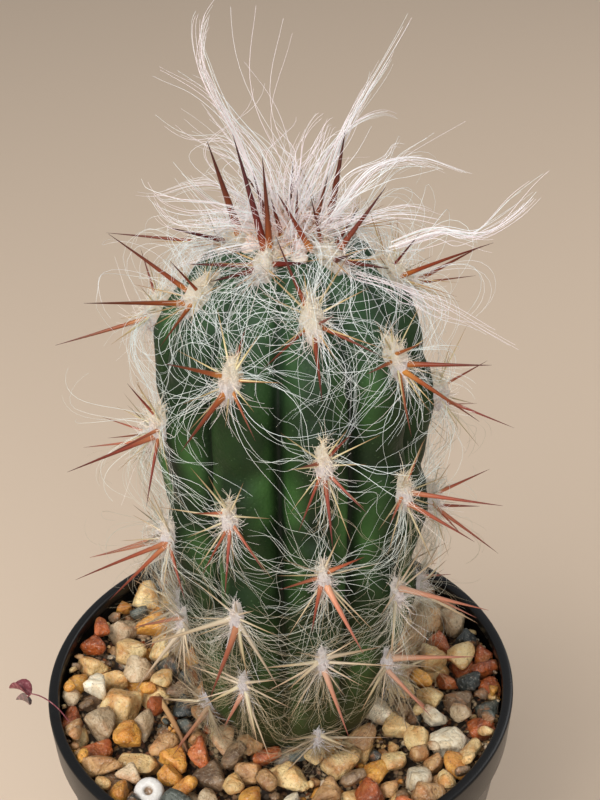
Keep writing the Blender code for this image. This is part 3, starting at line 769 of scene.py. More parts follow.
@dataclass(frozen=True)
class SkinFinish:
    """The stem's green skin: a painted highlight on the rib flanks, painted shade in the furrows, a paler
    bluish dome and a corky foot.
    """

    name: str = "stem_skin"
    crest: Colour = rgb(23, 45, 15)
    shade: Colour = rgb(12, 27, 9)
    # painted highlight: the paler green laid on the flanks of the ribs
    flank_highlight: Colour = rgb(60, 97, 46)
    # painted shade: the near black laid in the bottom of each furrow
    furrow_shade: Colour = rgb(8, 15, 7)
    dome: Colour = rgb(62, 92, 64)
    foot: Colour = rgb(62, 62, 34)
    speck: Colour = rgb(104, 132, 88)

    def make(self) -> Material:
        """The material, which reads the skin's own height and place across its rib.

        Returns:
            The material.
        """
        paint = Paint(self.name)
        grade, both = paint.grade, paint.both
        across, rise = paint.attribute("across"), paint.attribute("rise")
        wide, fine = paint.noise(90, 3), paint.noise(900, 3, 0.6)
        dots = paint.out("ShaderNodeTexVoronoi", {"Vector": paint.place(), "Scale": 1500.0})
        # the flanks between each rib's crest and its furrow, where the highlight is painted
        band = both(grade(across, 0.25, 0.62), grade(across, 0.97, 0.75))
        body = paint.layers(
            self.crest,
            (self.shade, wide, 0.35, 0.65),
            # painted highlight on the rib flanks, broken up by soft noise
            (self.flank_highlight, both(band, grade(paint.noise(60, 2), 0.46, 0.66, 0.05, 0.9))),
            # painted shade in the bottom of each furrow
            (self.furrow_shade, across, 0.78, 0.99, 0, 0.9),
            (self.dome, rise, 0.78, 1.0, 0, 0.6),
            (self.foot, both(grade(rise, 0.45, 0.06, 0, 0.8), grade(wide, 0.35, 0.6, 0.5, 1))),
            (self.speck, both(grade(dots, 0.28, 0.12), grade(fine, 0.5, 0.65, 0, 0.3))),
        )
        skin = paint.bump(paint.noise(260, 4, 0.6), 0.0005, 0.35, paint.bump(dots, 0.00008, 0.6))
        rough = grade(fine, 0.3, 0.7, 0.48, 0.66)
        return paint.dressed(base_color=body, roughness=rough, normal=skin, specular_ior_level=0.2)


@dataclass(frozen=True)
class StrandFinish:
    """A finish for strands: colour by row of the map, then from root to tip.

    Each band gives the share of the rows where it holds, places between a strand's root and its
    tip, and the colours at its root, those places and its tip. Rows between two bands are mixed.
    """

    name: str
    bands: list[tuple[float, tuple[float, ...], list[Spot]]]
    spread: float = 0.35
    roughness: float = 0.5
    sheen: float = 0.0
    specular: float = 0.4
    warmth: float = 0.0

    def make(self) -> Material:
        """The material, which reads only the strands' own map.

        Returns:
            The material.
        """
        paint = Paint(self.name)
        spot = paint.out("ShaderNodeUVMap", uv_map="OFBake")
        parts = paint.node("ShaderNodeSeparateXYZ", {"Vector": spot}).outputs
        row = paint.math("FLOOR", paint.math("MULTIPLY", parts["Y"], float(ROWS)))
        kind = paint.math("DIVIDE", row, float(ROWS))
        chance = paint.chance(row)
        colour, before = None, 0.0
        for after, places, tints in self.bands:
            run = paint.ramp(parts["X"], [(at, rgb(*tint)) for at, tint in zip((0, *places, 1), tints)])
            colour = paint.mix(paint.grade(kind, before, after), colour, run) if colour else run
            before = after
        shade = paint.grade(chance, 0, 1, 1 - self.spread, 1 + self.spread * 0.4)
        turned = paint.grade(chance, 0, 1, -0.2 * self.warmth, self.warmth)
        hue = paint.math("MULTIPLY_ADD", paint.grade(kind, 0.58, 0.72), turned)
        return paint.dressed(
            base_color=paint.out("ShaderNodeHueSaturation", {"Hue": hue, "Value": shade, "Color": colour}),
            roughness=self.roughness,
            specular_ior_level=self.specular,
            sheen_weight=self.sheen,
        )


class StoneKind(Enum):
    """The kinds of stone in the top dressing: main colour, vein colour and how common it is."""

    CREAM = (rgb(240, 210, 150), rgb(212, 154, 84), 24)
    PALE = (rgb(216, 192, 156), rgb(178, 146, 108), 10)
    WHITE = (rgb(242, 232, 206), rgb(212, 186, 144), 9)
    OCHRE = (rgb(236, 174, 80), rgb(190, 112, 40), 15)
    RUST = (rgb(190, 98, 46), rgb(128, 60, 32), 11)
    TAN = (rgb(206, 162, 110), rgb(154, 106, 64), 19)
    UMBER = (rgb(146, 118, 88), rgb(98, 74, 54), 12)
    SLATE = (rgb(108, 112, 102), rgb(70, 74, 66), 7)
    DARK = (rgb(62, 66, 62), rgb(36, 38, 36), 3)

    @property
    def tint(self) -> float:
        """The middle of this kind's stretch of the tint scale, from 0 to 1."""
        return (list(StoneKind).index(self) + 0.5) / len(StoneKind)


@dataclass(frozen=True)
class StoneFinish:
    """Damp river stone: its kind's colour, veins, worn pits and a soft gloss."""

    name: str = "gravel"
    gloss: float = 0.3
    stain: Colour = rgb(190, 120, 58)
    fleck: Colour = rgb(238, 228, 208)
    pit: Colour = rgb(74, 56, 40)

    def make(self) -> Material:
        """The material, which reads each stone's tint.

        Returns:
            The material.
        """
        paint = Paint(self.name)
        tint = paint.attribute("tint")
        main, vein = (self.scale(paint, tint, part) for part in range(2))
        shift = paint.out("ShaderNodeCombineXYZ", {"X": tint, "Y": tint, "Z": tint})
        at = paint.vectors("ADD", {0: paint.place(), 1: shift})
        cloud, stain = paint.noise(330, 4, 0.6, at, 0.6), paint.noise(190, 3, 0.55, at, 0.9)
        grain = paint.noise(1700, 3, 0.7, at)
        body = paint.layers(
            main,
            (vein, cloud, 0.4, 0.64, 0, 0.9),
            (self.stain, stain, 0.52, 0.66, 0, 0.55),
            (self.fleck, grain, 0.56, 0.72, 0, 0.4),
        )
        body = paint.mix(paint.grade(grain, 0.44, 0.3, 0, 0.6), body, self.pit, "MULTIPLY")
        shade = paint.grade(paint.chance(tint), 0, 1, 0.72, 1.04)
        body = paint.out("ShaderNodeHueSaturation", {"Value": shade, "Color": body})
        rough = paint.grade(cloud, 0.3, 0.7, self.gloss, self.gloss + 0.24)
        shape = paint.bump(cloud, 0.0016, 0.6, paint.bump(grain, 0.0004, 0.7))
        return paint.dressed(base_color=body, roughness=rough, normal=shape, specular_ior_level=0.5)

    def scale(self, paint: Paint, tint: Socket, part: int) -> Socket:
        """A stepped scale of one of the kinds' colours."""
        stops = [(index / len(StoneKind), kind.value[part]) for index, kind in enumerate(StoneKind)]
        return paint.ramp(tint, stops, "CONSTANT")


@dataclass(frozen=True)
class PlasticFinish:
    """Black moulded plastic with a satin surface, faint scuffs and dust."""

    name: str = "pot_plastic"
    body: Colour = rgb(15, 14, 14)
    dust: Colour = rgb(92, 84, 74)

    def make(self) -> Material:
        """The material."""
        paint = Paint(self.name)
        scuffs, cloud = paint.noise(700, 4, 0.7), paint.noise(45, 3)
        height = paint.node("ShaderNodeSeparateXYZ", {"Vector": paint.place()}).outputs["Z"]
        dusty = paint.both(paint.grade(scuffs, 0.58, 0.8, 0, 0.16), paint.grade(cloud, 0.4, 0.7))
        low = paint.grade(height, 0.012, 0.0, 0, 0.25)
        body = paint.mix(paint.math("ADD", dusty, low), self.body, self.dust)
        rough = paint.grade(cloud, 0.3, 0.7, 0.24, 0.36)
        grain = paint.bump(paint.noise(2600, 2), 0.00006, 0.35)
        return paint.dressed(base_color=body, roughness=rough, normal=grain, specular_ior_level=0.28)


@dataclass(frozen=True)
class GritFinish:
    """Damp grit or soil: packed crumbs of many browns, with painted shade in the gaps between them."""

    name: str = "grit"
    # painted shade in the gaps between the crumbs
    gap: Colour = rgb(52, 41, 31)
    crumbs: tuple[Spot, ...] = (
        (84, 70, 54), (132, 104, 72), (178, 144, 100), (216, 190, 150), (156, 92, 54), (106, 102, 90)
    )

    def make(self) -> Material:
        """The material."""
        paint = Paint(self.name)
        cells = paint.node("ShaderNodeTexVoronoi", {"Vector": paint.place(), "Scale": 950.0}).outputs
        pick = paint.out("ShaderNodeSeparateColor", {"Color": cells["Color"]})
        last = len(self.crumbs) - 1
        body = paint.ramp(pick, [(index / last, rgb(*colour)) for index, colour in enumerate(self.crumbs)])
        # painted shade: the gap colour laid over each crumb's edge, where the bump is lowest
        edge = paint.grade(cells["Distance"], 0.36, 0.62)
        body = paint.mix(edge, body, self.gap)
        lumps = paint.bump(paint.grade(edge, 1, 0), 0.0005, 0.8)
        return paint.dressed(base_color=body, roughness=0.72, normal=lumps, specular_ior_level=0.4)


@dataclass(frozen=True)
class PadFinish:
    """The dense felt of a pad: cream above, pinkish below, grey with age, and quite matt."""

    name: str = "felt_pad"
    cream: Colour = rgb(255, 238, 206)
    pink: Colour = rgb(255, 240, 234)
    old: Colour = rgb(244, 232, 232)
    stain: Colour = rgb(232, 188, 142)

    def make(self) -> Material:
        """The material, which reads how high a point is on its pad and how young the pad is.

        Returns:
            The material.
        """
        paint = Paint(self.name)
        young = paint.layers(self.pink, (self.cream, paint.attribute("upper"), 0.5, 0.8))
        body = paint.mix(paint.attribute("youth"), self.old, young)
        body = paint.layers(body, (self.stain, paint.noise(900, 3), 0.54, 0.72, 0, 0.55))
        fuzz = paint.bump(paint.noise(2800, 4, 0.75), 0.0014)
        soft = {"roughness": 0.95, "specular_ior_level": 0.1, "sheen_weight": 0.5}
        return paint.dressed(base_color=body, normal=fuzz, **soft)


@dataclass(frozen=True)
class LeafFinish:
    """A matt skin with paler veins, which turns into another colour where it has dried."""

    name: str = "dry_leaf"
    main: Colour = rgb(112, 46, 54)
    pale: Colour = rgb(176, 122, 122)
    grey: Colour = rgb(104, 86, 78)

    def make(self) -> Material:
        """The material."""
        paint = Paint(self.name)
        vein = paint.noise(1500, 3, 0.6)
        body = paint.layers(self.main, (self.grey, paint.attribute("dry")), (self.pale, vein, 0.5, 0.75))
        return paint.dressed(base_color=body, roughness=0.6, normal=paint.bump(vein, 0.0003, 0.6))


SPINE = StrandFinish(
    "spine",
    [
        (0.05, (0.6,), [(204, 188, 164), (176, 152, 124), (128, 96, 74)]),
        (0.25, (0.5,), [(216, 208, 170), (194, 176, 128), (142, 98, 64)]),
        (0.44, (0.4,), [(218, 190, 120), (196, 138, 76), (128, 62, 42)]),
        (0.54, (0.4,), [(204, 168, 144), (180, 124, 98), (134, 72, 58)]),
        (0.61, (0.35,), [(204, 138, 92), (176, 92, 62), (100, 40, 34)]),
        (0.69, (0.35,), [(196, 130, 98), (162, 78, 64), (84, 32, 32)]),
        (0.75, (0.3,), [(200, 130, 66), (142, 64, 38), (70, 25, 24)]),
        (0.8, (0.25,), [(206, 132, 60), (142, 60, 32), (68, 21, 20)]),
        (0.88, (0.2, 0.5), [(200, 112, 46), (120, 42, 24), (86, 24, 20), (48, 13, 15)]),
    ],
    roughness=0.34,
    specular=0.3,
    warmth=0.022,
)
WOOL = StrandFinish(
    "wool",
    [
        (0.05, (0.5,), [(214, 202, 196), (226, 217, 212), (236, 230, 228)]),
        (0.42, (0.5,), [(240, 220, 206), (246, 232, 222), (250, 242, 236)]),
        (0.74, (0.5,), [(246, 218, 168), (252, 234, 200), (255, 246, 228)]),
        (0.9, (0.5,), [(216, 154, 118), (240, 204, 190), (250, 234, 230)]),
    ],
    spread=0.1,
    roughness=0.9,
    sheen=0.4,
    specular=0.15,
)
HAIR = StrandFinish(
    "hair",
    [
        (0, (0.5,), [(190, 172, 140), (168, 148, 114), (140, 118, 86)]),
        (0.4, (0.5,), [(234, 240, 232), (232, 238, 230), (222, 226, 214)]),
        (0.75, (0.5,), [(240, 247, 243), (238, 244, 241), (232, 238, 235)]),
        (0.9, (0.5,), [(250, 232, 230), (250, 236, 238), (248, 234, 236)]),
    ],
    spread=0.1,
    roughness=0.38,
    specular=0.5,
)
DRY_SPINE = StrandFinish(
    "dry_spine", [(0, (0.5,), [(186, 150, 104), (166, 122, 80), (110, 74, 50)])], roughness=0.62
)
# the second colour is the painted shade in the gaps between the soil's crumbs
SOIL = GritFinish(
    "soil", rgb(30, 23, 18), ((42, 32, 25), (58, 45, 34), (72, 56, 42), (86, 66, 48), (150, 134, 112))
)
# the bead's pit takes the colour that a leaf has where it has dried
BEAD = LeafFinish("bead", rgb(212, 206, 198), rgb(232, 228, 224), rgb(146, 120, 94))
SOLIDS = [SkinFinish(), LeafFinish(), BEAD, PadFinish(), StoneFinish(), GritFinish(), SOIL, PlasticFinish()]


@dataclass(frozen=True)
class Workshop:
    """What every sub-assembly is made with: the form, the finishes and the node trees."""

    form: StemForm
    finishes: dict[str, Material]
    strands: StrandRecipe
    stones: StoneRecipe
    relief: ReliefRecipe

    def hand_over(self, name: str, mesh: Mesh, finish: str, slot: str, *nodes: str) -> None:
        """Dresses a mesh in one finish and delivers it as a piece.

        Args:
            name: The piece's name.
            mesh: Its mesh, in place.
            finish: The finish's name.
            slot: A material slot's name, which is handed on to deliver.
            *nodes: The CAD nodes that it stands for.
        """
        mesh.materials.clear()
        mesh.materials.append(self.finishes[finish])
        deliver(add_piece(name, mesh), slot, *nodes)

    def grow_on_ribs(self, name: str, grow: Callable[[Areole], Strands], finish: str) -> None:
        """Delivers one piece of fine strands for each rib, out of what grows on its areoles.

        Args:
            name: How the pieces' names begin.
            grow: Gives what grows on one areole.
            finish: The name of their finish.
        """
        for rib in range(self.form.ribs):
            grown = merged([grow(areole) for areole in self.form.areoles(rib)])
            deliver(grown.piece(self, f"{name}_{rib + 1:02d}", 3, finish), finish)


def deliver(piece: Object, slot: str, *nodes: str) -> None:
    """Hands a finished piece to the frame.

    Args:
        piece: The piece, at the origin.
        slot: Not used.
        *nodes: The CAD nodes that it stands for.
    """
    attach(piece, ROOT)
    if nodes:
        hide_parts(*nodes)
    triangles = sum(len(face.vertices) - 2 for face in piece.data.polygons)
    log.info("%s: %d triangles", piece.name, triangles)


# ---- pot


@dataclass
class Pot:
    """The moulded pot: a tapered body, a stepped collar, a rounded lip and drain holes."""

    rim_height: float = 75.0
    rim_radius: float = 42.5
    lip_width: float = 2.0
    lip_height: float = 2.2
    collar_foot: float = 67.3
    collar_foot_radius: float = 42.0
    step_width: float = 0.8
    base_radius: float = 32.0
    wall: float = 1.1
    floor: float = 1.4
    sides: int = 180
    holes: int = 6
    hole_radius: float = 3.0
    hole_circle: float = 23.0
    hole_turn: float = 0.47
    hole_sides: int = 28

    def outer(self, height: float) -> float:
        """The body's outer radius below the collar."""
        top = self.collar_foot_radius - self.step_width
        return self.base_radius + (top - self.base_radius) * height / self.collar_foot

    def inner(self, height: float) -> float:
        """The wall's inside radius."""
        if height < self.collar_foot:
            return self.outer(height) - self.wall
        slope = (self.rim_radius - self.collar_foot_radius) / (self.rim_height - self.collar_foot)
        return self.collar_foot_radius + slope * (height - self.collar_foot) - self.wall

    def outline(self) -> list[tuple[float, float]]:
        """The wall's section, from the middle of the underside, over the lip, to the middle inside.

        Returns:
            Radius and height of each point.
        """
        foot, base = self.collar_foot, self.base_radius
        lip_inner, under_lip = self.rim_radius - self.lip_width, self.rim_height - self.lip_height
        inside = (under_lip - 0.6, foot + 0.2, foot - 1.0)
        corners = [
            (0, 0.5, 0),
            (base - 4.0, 0.5, 0.2),
            (base - 3.4, 0.0, 0.2),
            (base - 0.2, 0.0, 0.7),
            (self.outer(foot), foot - 0.1, 0.3),
            (self.collar_foot_radius, foot, 0.5),
            (self.rim_radius, self.rim_height - 0.1, 0.6),
            (lip_inner, self.rim_height, 0.7),
            (lip_inner, under_lip, 0.4),
            *((self.inner(height), height, 0.4) for height in inside),
            (self.inner(self.floor), self.floor, 1.2),
            (0, self.floor, 0),
        ]
        return rounded(corners, 4)

    def build(self, shop: Workshop) -> None:
        """Turns the pot, cuts its drain holes and dresses it.

        Args:
            shop: What it is made with.
        """
        shell = add_piece("pot_turned", lathe(self.outline(), self.sides))
        cutters = [self.hole(number) for number in range(self.holes)]
        for cutter in cutters:
            cut = shell.modifiers.new("drain", "BOOLEAN")
            cut.operation = "DIFFERENCE"
            cut.object = cutter
        mesh = plain_mesh(shell)
        for used in [shell, *cutters]:
            bpy.data.objects.remove(used)
        mesh.shade_smooth()
        mesh.set_sharp_from_angle(angle=math.radians(50))
        shop.hand_over("pot_shell", mesh, "pot_plastic", "pot_plastic", "pot")

    def hole(self, number: int) -> Object:
        """A cutter for one drain hole."""
        turn = TURN * (number + self.hole_turn) / self.holes
        radius, top = self.hole_radius, self.floor + 1
        plug = lathe([(0, -1), (radius, -1), (radius, top), (0, top)], self.hole_sides)
        spot = (self.hole_circle * math.cos(turn), self.hole_circle * math.sin(turn), 0)
        return add_piece("drain_cutter", moved(plug, spot))


def rounded(corners: list[Spot], steps: int) -> list[tuple[float, float]]:
    """An outline with its corners rounded.

    Args:
        corners: Radius, height and rounding of each corner.
        steps: Points along each rounding, less one.

    Returns:
        The outline's points.
    """
    points = [corners[0][:2]]
    for before, corner, after in zip(corners, corners[1:], corners[2:]):
        here = np.array(corner[:2])
        arms = [np.array(other[:2]) - here for other in (before, after)]
        reach = min(corner[2], *(0.45 * np.linalg.norm(arm) for arm in arms))
        start, end = (here + arm / np.linalg.norm(arm) * reach for arm in arms)
        for k in range(steps + 1):
            t = k / steps
            points.append(tuple((1 - t) ** 2 * start + 2 * t * (1 - t) * here + t**2 * end))
    return points + [corners[-1][:2]]


# ---- stones


@dataclass(frozen=True)
class Stone:
    """One stone: where its middle lies, its half sizes, its turn and its kind."""

    at: Spot
    half: Spot
    turn: float
    kind: StoneKind


@dataclass
class StoneShapes:
    """A set of worn stone shapes, each a rounded many-sided body that fits in a 2 mm ball."""

    levels: tuple[int, ...] = (1, 2, 3)
    variants: int = 9
    flats: int = 10
    edge: float = 20.0
    first_seed: int = 300

    def mesh(self, seed: int, level: int, stretch: Spot = (1, 1, 1)) -> Mesh:
        """One worn stone.

        Args:
            seed: Which stone.
            level: How finely it is divided.
            stretch: Its half sizes.

        Returns:
            A closed mesh with a map in which it fills one disc.
        """
        chance = dice(seed)
        flats = unit(chance.normal(size=(self.flats, 3)))
        reach = chance.uniform(0.58, 1.0, self.flats)
        bm = bmesh.new()
        bmesh.ops.create_icosphere(bm, subdivisions=level, radius=1)
        ways = np.array([vert.co for vert in bm.verts])
        gauge = np.maximum(ways @ flats.T, 0) / reach
        radius = np.minimum((gauge**self.edge).sum(1) ** (-1 / self.edge), 1.25)
        for waves in (3, 5, 8):
            swell = np.sin(waves * ways @ unit(chance.normal(size=3)) + chance.uniform(0, 6))
            radius = radius * (1 + 0.035 * swell)
        shaped = ways * radius[:, None]
        shaped /= np.abs(shaped).max(0)
        for vert, place in zip(bm.verts, shaped * np.array(stretch) * MM):
            vert.co = place
        layer = bm.loops.layers.uv.new("patch")
        for face in bm.faces:
            middle = face.calc_center_median()
            for loop in face.loops:
                loop[layer].uv = self.disc(ways[loop.vert.index], middle)
        return mesh_from(bm)

    def disc(self, way: Array, middle: Vector) -> tuple[float, float]:
        """Where a direction falls on the unit square, with the underside round the edge."""
        at_pole = abs(way[2]) > 0.999
        turn = math.atan2(middle.y, middle.x) if at_pole else math.atan2(way[1], way[0])
        reach = 0.47 * math.sqrt(max(0.0, (1 - way[2]) / 2))
        return 0.5 + reach * math.cos(turn), 0.5 + reach * math.sin(turn)

    def collection(self) -> bpy.types.Collection:
        """The shapes as a hidden set: the coarse ones first, then the finer ones.

        Returns:
            The set, which isn't linked to the scene.
        """
        made = bpy.data.collections.new("stone_shapes")
        for rank, level in enumerate(self.levels):
            for variant in range(self.variants):
                mesh = self.mesh(self.first_seed + variant, level)
                made.objects.link(bpy.data.objects.new(f"shape_{rank}_{variant}", mesh))
        return made


@dataclass
class TopDressing:
    """The pebble dressing: loose stones of many kinds on dark grit, and the stones kept apart.

    Each sort of loose stone has its count, least and greatest size, and how high it may lie. Each
    chosen stone has a place of its own: x, y, half length, half width, turn and kind.
    """

    low: float = 62.6
    top: float = 69.3
    highest: float = 75.0
    lift: float = 71.0
    room: float = 40.3
    cells: int = 40
    seed: int = 11
    apart_seed: int = 60
    tries: int = 25
    overlap: float = 0.72
    at_wall: float = 0.3
    swell: float = 1.12
    bead: Spot = (-23.1, -25.5, 72.2)
    bead_room: Spot = (3.4, 3.4, 1.8)
    bead_tilt: float = 24
    bank: float = 3.0
    bank_from: float = 32.0
    fine_from: float = 2.3
    crumb_to: float = 1.15
    grit_rings: int = 34
    grit_sides: int = 150
    sorts: tuple[tuple[int, float, float, float], ...] = (
        (150, 2.8, 4.0, 4.8), (170, 2.0, 2.8, 4.4), (130, 1.4, 2.0, 3.2), (220, 0.8, 1.3, 1.7),
        (420, 0.4, 0.8, 0.7),
    )
    clear_top: float = 71.2
    apart: ClassVar[dict[str, Stone]] = {
        "cream": Stone((-29.0, -2.0, 70.4), (5.0, 3.7, 3.2), 35, StoneKind.CREAM),
        "pale": Stone((-30.4, 18.4, 70.4), (3.7, 3.3, 2.7), 0, StoneKind.PALE),
        "ochre": Stone((-25.2, -17.0, 70.4), (4.2, 3.3, 2.8), 10, StoneKind.CREAM),  # a pale ochre
        "white": Stone((30.0, -14.5, 70.4), (4.2, 3.0, 2.8), 15, StoneKind.WHITE),
    }
    chosen: ClassVar[list[tuple]] = [
        (-38, -5.5, 2, 4.2, 0, "RUST"), (-33, -13.5, 3.7, 2.2, 40, "RUST"),
        (-19, -17, 2.7, 2.6, 0, "OCHRE"), (-14.5, -16.5, 2, 3.3, 0, "RUST"),
        (-35.5, 8, 2.5, 3.6, 20, "CREAM"), (-38, 3, 1.8, 2.6, 0, "OCHRE"), (-25, -8, 1.7, 2.9, 0, "PALE"),
        (-23.2, -3.4, 1.4, 2.6, 0, "RUST"), (-17.5, -3.5, 2.4, 2.6, 0, "DARK"),
        (-10.5, -13, 2, 3, 0, "PALE"), (-5.5, -13.5, 3.2, 2.8, -20, "TAN"), (-6, -20, 2.4, 2.4, 0, "TAN"),
        (-12.5, -21.5, 3.3, 2.9, 0, "UMBER"), (1, -16.5, 3.2, 2.3, 10, "SLATE"),
        (1, -22, 4, 2.4, -30, "CREAM"), (8, -13.5, 2.8, 3.2, 0, "OCHRE"),
        (9.5, -19.5, 3.6, 2.6, -10, "CREAM"), (20.5, -11, 2.4, 2.8, 30, "CREAM"),
        (24, -13.5, 2.3, 3.3, 0, "CREAM"), (19.5, -19, 2.4, 2.8, 0, "CREAM"),
        (26.3, -20, 1.8, 2.9, 0, "TAN"), (27.5, -9, 2.2, 2.4, 0, "WHITE"),
        (32.5, -5.5, 2.7, 3, 0, "UMBER"), (37.5, -7.5, 2.3, 2.4, 0, "SLATE"),
        (31, 10, 1.8, 3.7, 30, "RUST"), (31, 0, 2, 2.2, 0, "RUST"), (38.5, -1.5, 1.9, 2.5, 0, "RUST"),
        (38.6, 6.5, 1.7, 2.8, 0, "RUST"), (29.5, 17, 3.2, 2.7, 0, "TAN"),
    ]

    def build(self, shop: Workshop) -> None:
        """Packs the stones and makes them, then the grit below them and the stones kept apart.

        Args:
            shop: What it is made with.
        """
        shapes = StoneShapes()
        self.build_stones(shop, shapes, self.pack(shop.form))
        self.build_grit(shop)
        self.build_bead(shop)
        for number, (kind, stone) in enumerate(self.apart.items()):
            mesh = shapes.mesh(self.apart_seed + number, 4, stone.half)
            moved(mesh, stone.at, Z=stone.turn)
            store_on(mesh, "tint", np.full(len(mesh.vertices), stone.kind.tint))
            mesh.uv_layers.remove(mesh.uv_layers["patch"])
            shop.hand_over("stone_" + kind, mesh, "gravel", kind + "_stone", "pebble_" + kind)

    def build_bead(self, shop: Workshop) -> None:
        """The small pale bead with a pit in its top.

        Args:
            shop: What it is made with.
        """
        foot = [(0, -2.0, 0), (1.7, -2.0, 1.1), (2.75, -0.3, 1.3)]
        side = [*foot, (2.4, 1.5, 0.9), (1.0, 1.9, 0.5), (0.55, 0.8, 0.3), (0, 0.3, 0)]
        mesh = lathe(rounded(side, 4), 28)
        pit = [math.hypot(*vert.co.xy) < 0.8 * MM and vert.co.z > -MM for vert in mesh.vertices]
        store_on(mesh, "dry", np.array(pit, float))
        shop.hand_over("stone_bead", moved(mesh, self.bead, X=self.bead_tilt), "bead", "gravel")

    def pack(self, form: StemForm) -> list[Stone]:
        """Lets stones fall one by one, the large ones first, each resting on those below it.

        Args:
            form: The stem, which they leave room for.

        Returns:
            The stones.
        """
        chance = dice(self.seed)
        kinds = list(StoneKind)
        shares = np.array([kind.value[2] for kind in kinds], float)
        kept = []
        for x, y, long, wide, turn, kind in self.chosen:
            half = (self.swell * long, self.swell * wide, min(0.75 * wide, 2.4))
            kept.append(Stone((x, y, self.lift), half, turn, StoneKind[kind]))
        placed = [*self.apart.values(), *kept, Stone(self.bead, self.bead_room, 0, StoneKind.WHITE)]
        spots = [(*stone.at, sum(stone.half[:2]) / 2) for stone in placed]
        fixed = np.array(spots)
        foot = form.axis(self.top)
        stem = float(form.crest(self.top + 2))
        for count, least, most, rise in self.sorts:
            wanted = count
            for _ in range(self.tries * count):
                if not wanted:
                    break
                size = chance.uniform(least, most)
                share = 1 if chance.random() < self.at_wall else math.sqrt(chance.random())
                away = (self.room - 0.95 * size) * share
                turn = chance.uniform(0, TURN)
                x, y = away * math.cos(turn), away * math.sin(turn)
                kind = kinds[chance.choice(len(kinds), p=shares / shares.sum())]
                half = tuple(size * chance.uniform((0.95, 0.75, 0.65), (1.2, 0.95, 0.85)))
                spin = chance.uniform(0, 180)
                if math.hypot(x - foot[0], y - foot[1]) < stem + 0.55 * size:
                    continue
                if (np.hypot(fixed[:, 0] - x, fixed[:, 1] - y) < self.overlap * (fixed[:, 3] + size)).any():
                    continue
                z = self.rest(np.array(spots), x, y, size)
                limit = min(self.highest, self.top + rise + float(self.banked(x, y)))
                if self.beside(x, y) < size + 0.4:
                    limit = self.clear_top
                if z + 0.75 * half[2] > limit:
                    continue
                spots.append((x, y, z, size))
                kept.append(Stone((x, y, z), half, spin, kind))
                wanted -= 1
        return kept

    def rest(self, spots: Array, x: float, y: float, size: float) -> float:
        """The height at which a stone comes to rest on the stones already there.

        Args:
            spots: Middle and size of each of those.
            x: The place.
            y: The same, towards the back.
            size: The stone's size.

        Returns:
            The height of its middle.
        """
        gap = np.hypot(spots[:, 0] - x, spots[:, 1] - y)
        reach = 0.8 * (spots[:, 3] + size)
        near = gap < reach
        bed = self.top - 1.6 + 0.25 * size + float(self.banked(x, y))
        if not near.any():
            return bed
        lifted = spots[near, 2] + self.overlap * np.sqrt(reach[near] ** 2 - gap[near] ** 2)
        return max(bed, float(lifted.max()))

    def beside(self, x: float, y: float) -> float:
        """How far a place is from the line where the shed spine lies."""
        start, end = np.array(SHED_ENDS)
        along = np.clip(np.dot([x, y] - start, end - start) / np.dot(end - start, end - start), 0, 1)
        return float(np.linalg.norm(start + (end - start) * along - [x, y]))

    def banked(self, x: Array, y: Array) -> Array:
        """How much higher the dressing lies towards the pot's wall, and most so in front."""
        height = np.interp(np.hypot(x, y), [self.bank_from, self.room], [0, self.bank])
        return height * np.interp(y, [0, 18], [1, 0.25])

    def build_stones(self, shop: Workshop, shapes: StoneShapes, stones: list[Stone]) -> None:
        """Sets a worn shape on each stone's place.

        Args:
            shop: What it is made with.
            shapes: The worn shapes.
            stones: Where they lie.
        """
        chance = dice(self.seed + 1)
        count = len(stones)
        rank = np.digitize([max(stone.half) for stone in stones], [self.crumb_to, self.fine_from])
        shape = chance.integers(0, shapes.variants, count) + rank * shapes.variants
        tilt = chance.uniform(-0.4, 0.4, (count, 2))
        turn = np.column_stack([tilt, np.radians([stone.turn for stone in stones])])
        tint = np.array([stone.kind.tint for stone in stones]) + chance.uniform(-0.045, 0.045, count)
        cell = np.arange(count)
        mesh = mesh_of([stone.at for stone in stones], [])
        store_on(mesh, "size", np.array([stone.half for stone in stones]), VECTOR)
        store_on(mesh, "turn", turn, VECTOR)
        store_on(mesh, "tint", tint)
        store_on(mesh, "shape", shape.astype(np.int32), "INT")
        place = np.column_stack([cell % self.cells, cell // self.cells, 0 * cell])
        store_on(mesh, "cell", place, VECTOR)
        values = {"Shapes": shapes.collection(), "Cells": float(self.cells)}
        values["Finish"] = shop.finishes["gravel"]
        piece = shop.stones.run(add_piece("stone_spots", mesh), "gravel_stones", values)
        deliver(piece, "gravel", "gravel_bed")

    def build_grit(self, shop: Workshop) -> None:
        """The ring of dark grit that shows between the stones, closed below.

        Args:
            shop: What it is made with.
        """
        chance, sides = dice(self.seed + 2), self.grit_sides
        way = around(sides)
        near = shop.form.axis(self.top)[:2] + way * (float(shop.form.crest(self.low)) - 1)
        far = way * (self.room - 0.4)
        rows = [np.column_stack([near, np.full(sides, self.low)])]
        for share in np.linspace(0, 1, self.grit_rings):
            spot = near + (far - near) * share
            height = self.top - 1.5 + chance.uniform(-0.6, 0.8, sides) + self.banked(*spot.T)
            rows.append(np.column_stack([spot, height]))
        rows.append(np.column_stack([far, np.full(sides, self.low)]))
        points = np.concatenate(rows)
        faces = [tuple(index % len(points) for index in face) for face in grid_faces(len(rows) + 1, sides)]
        shop.hand_over("gravel_grit", faced_out(mesh_of(points, faces)), "grit", "gravel")


# ---- stem


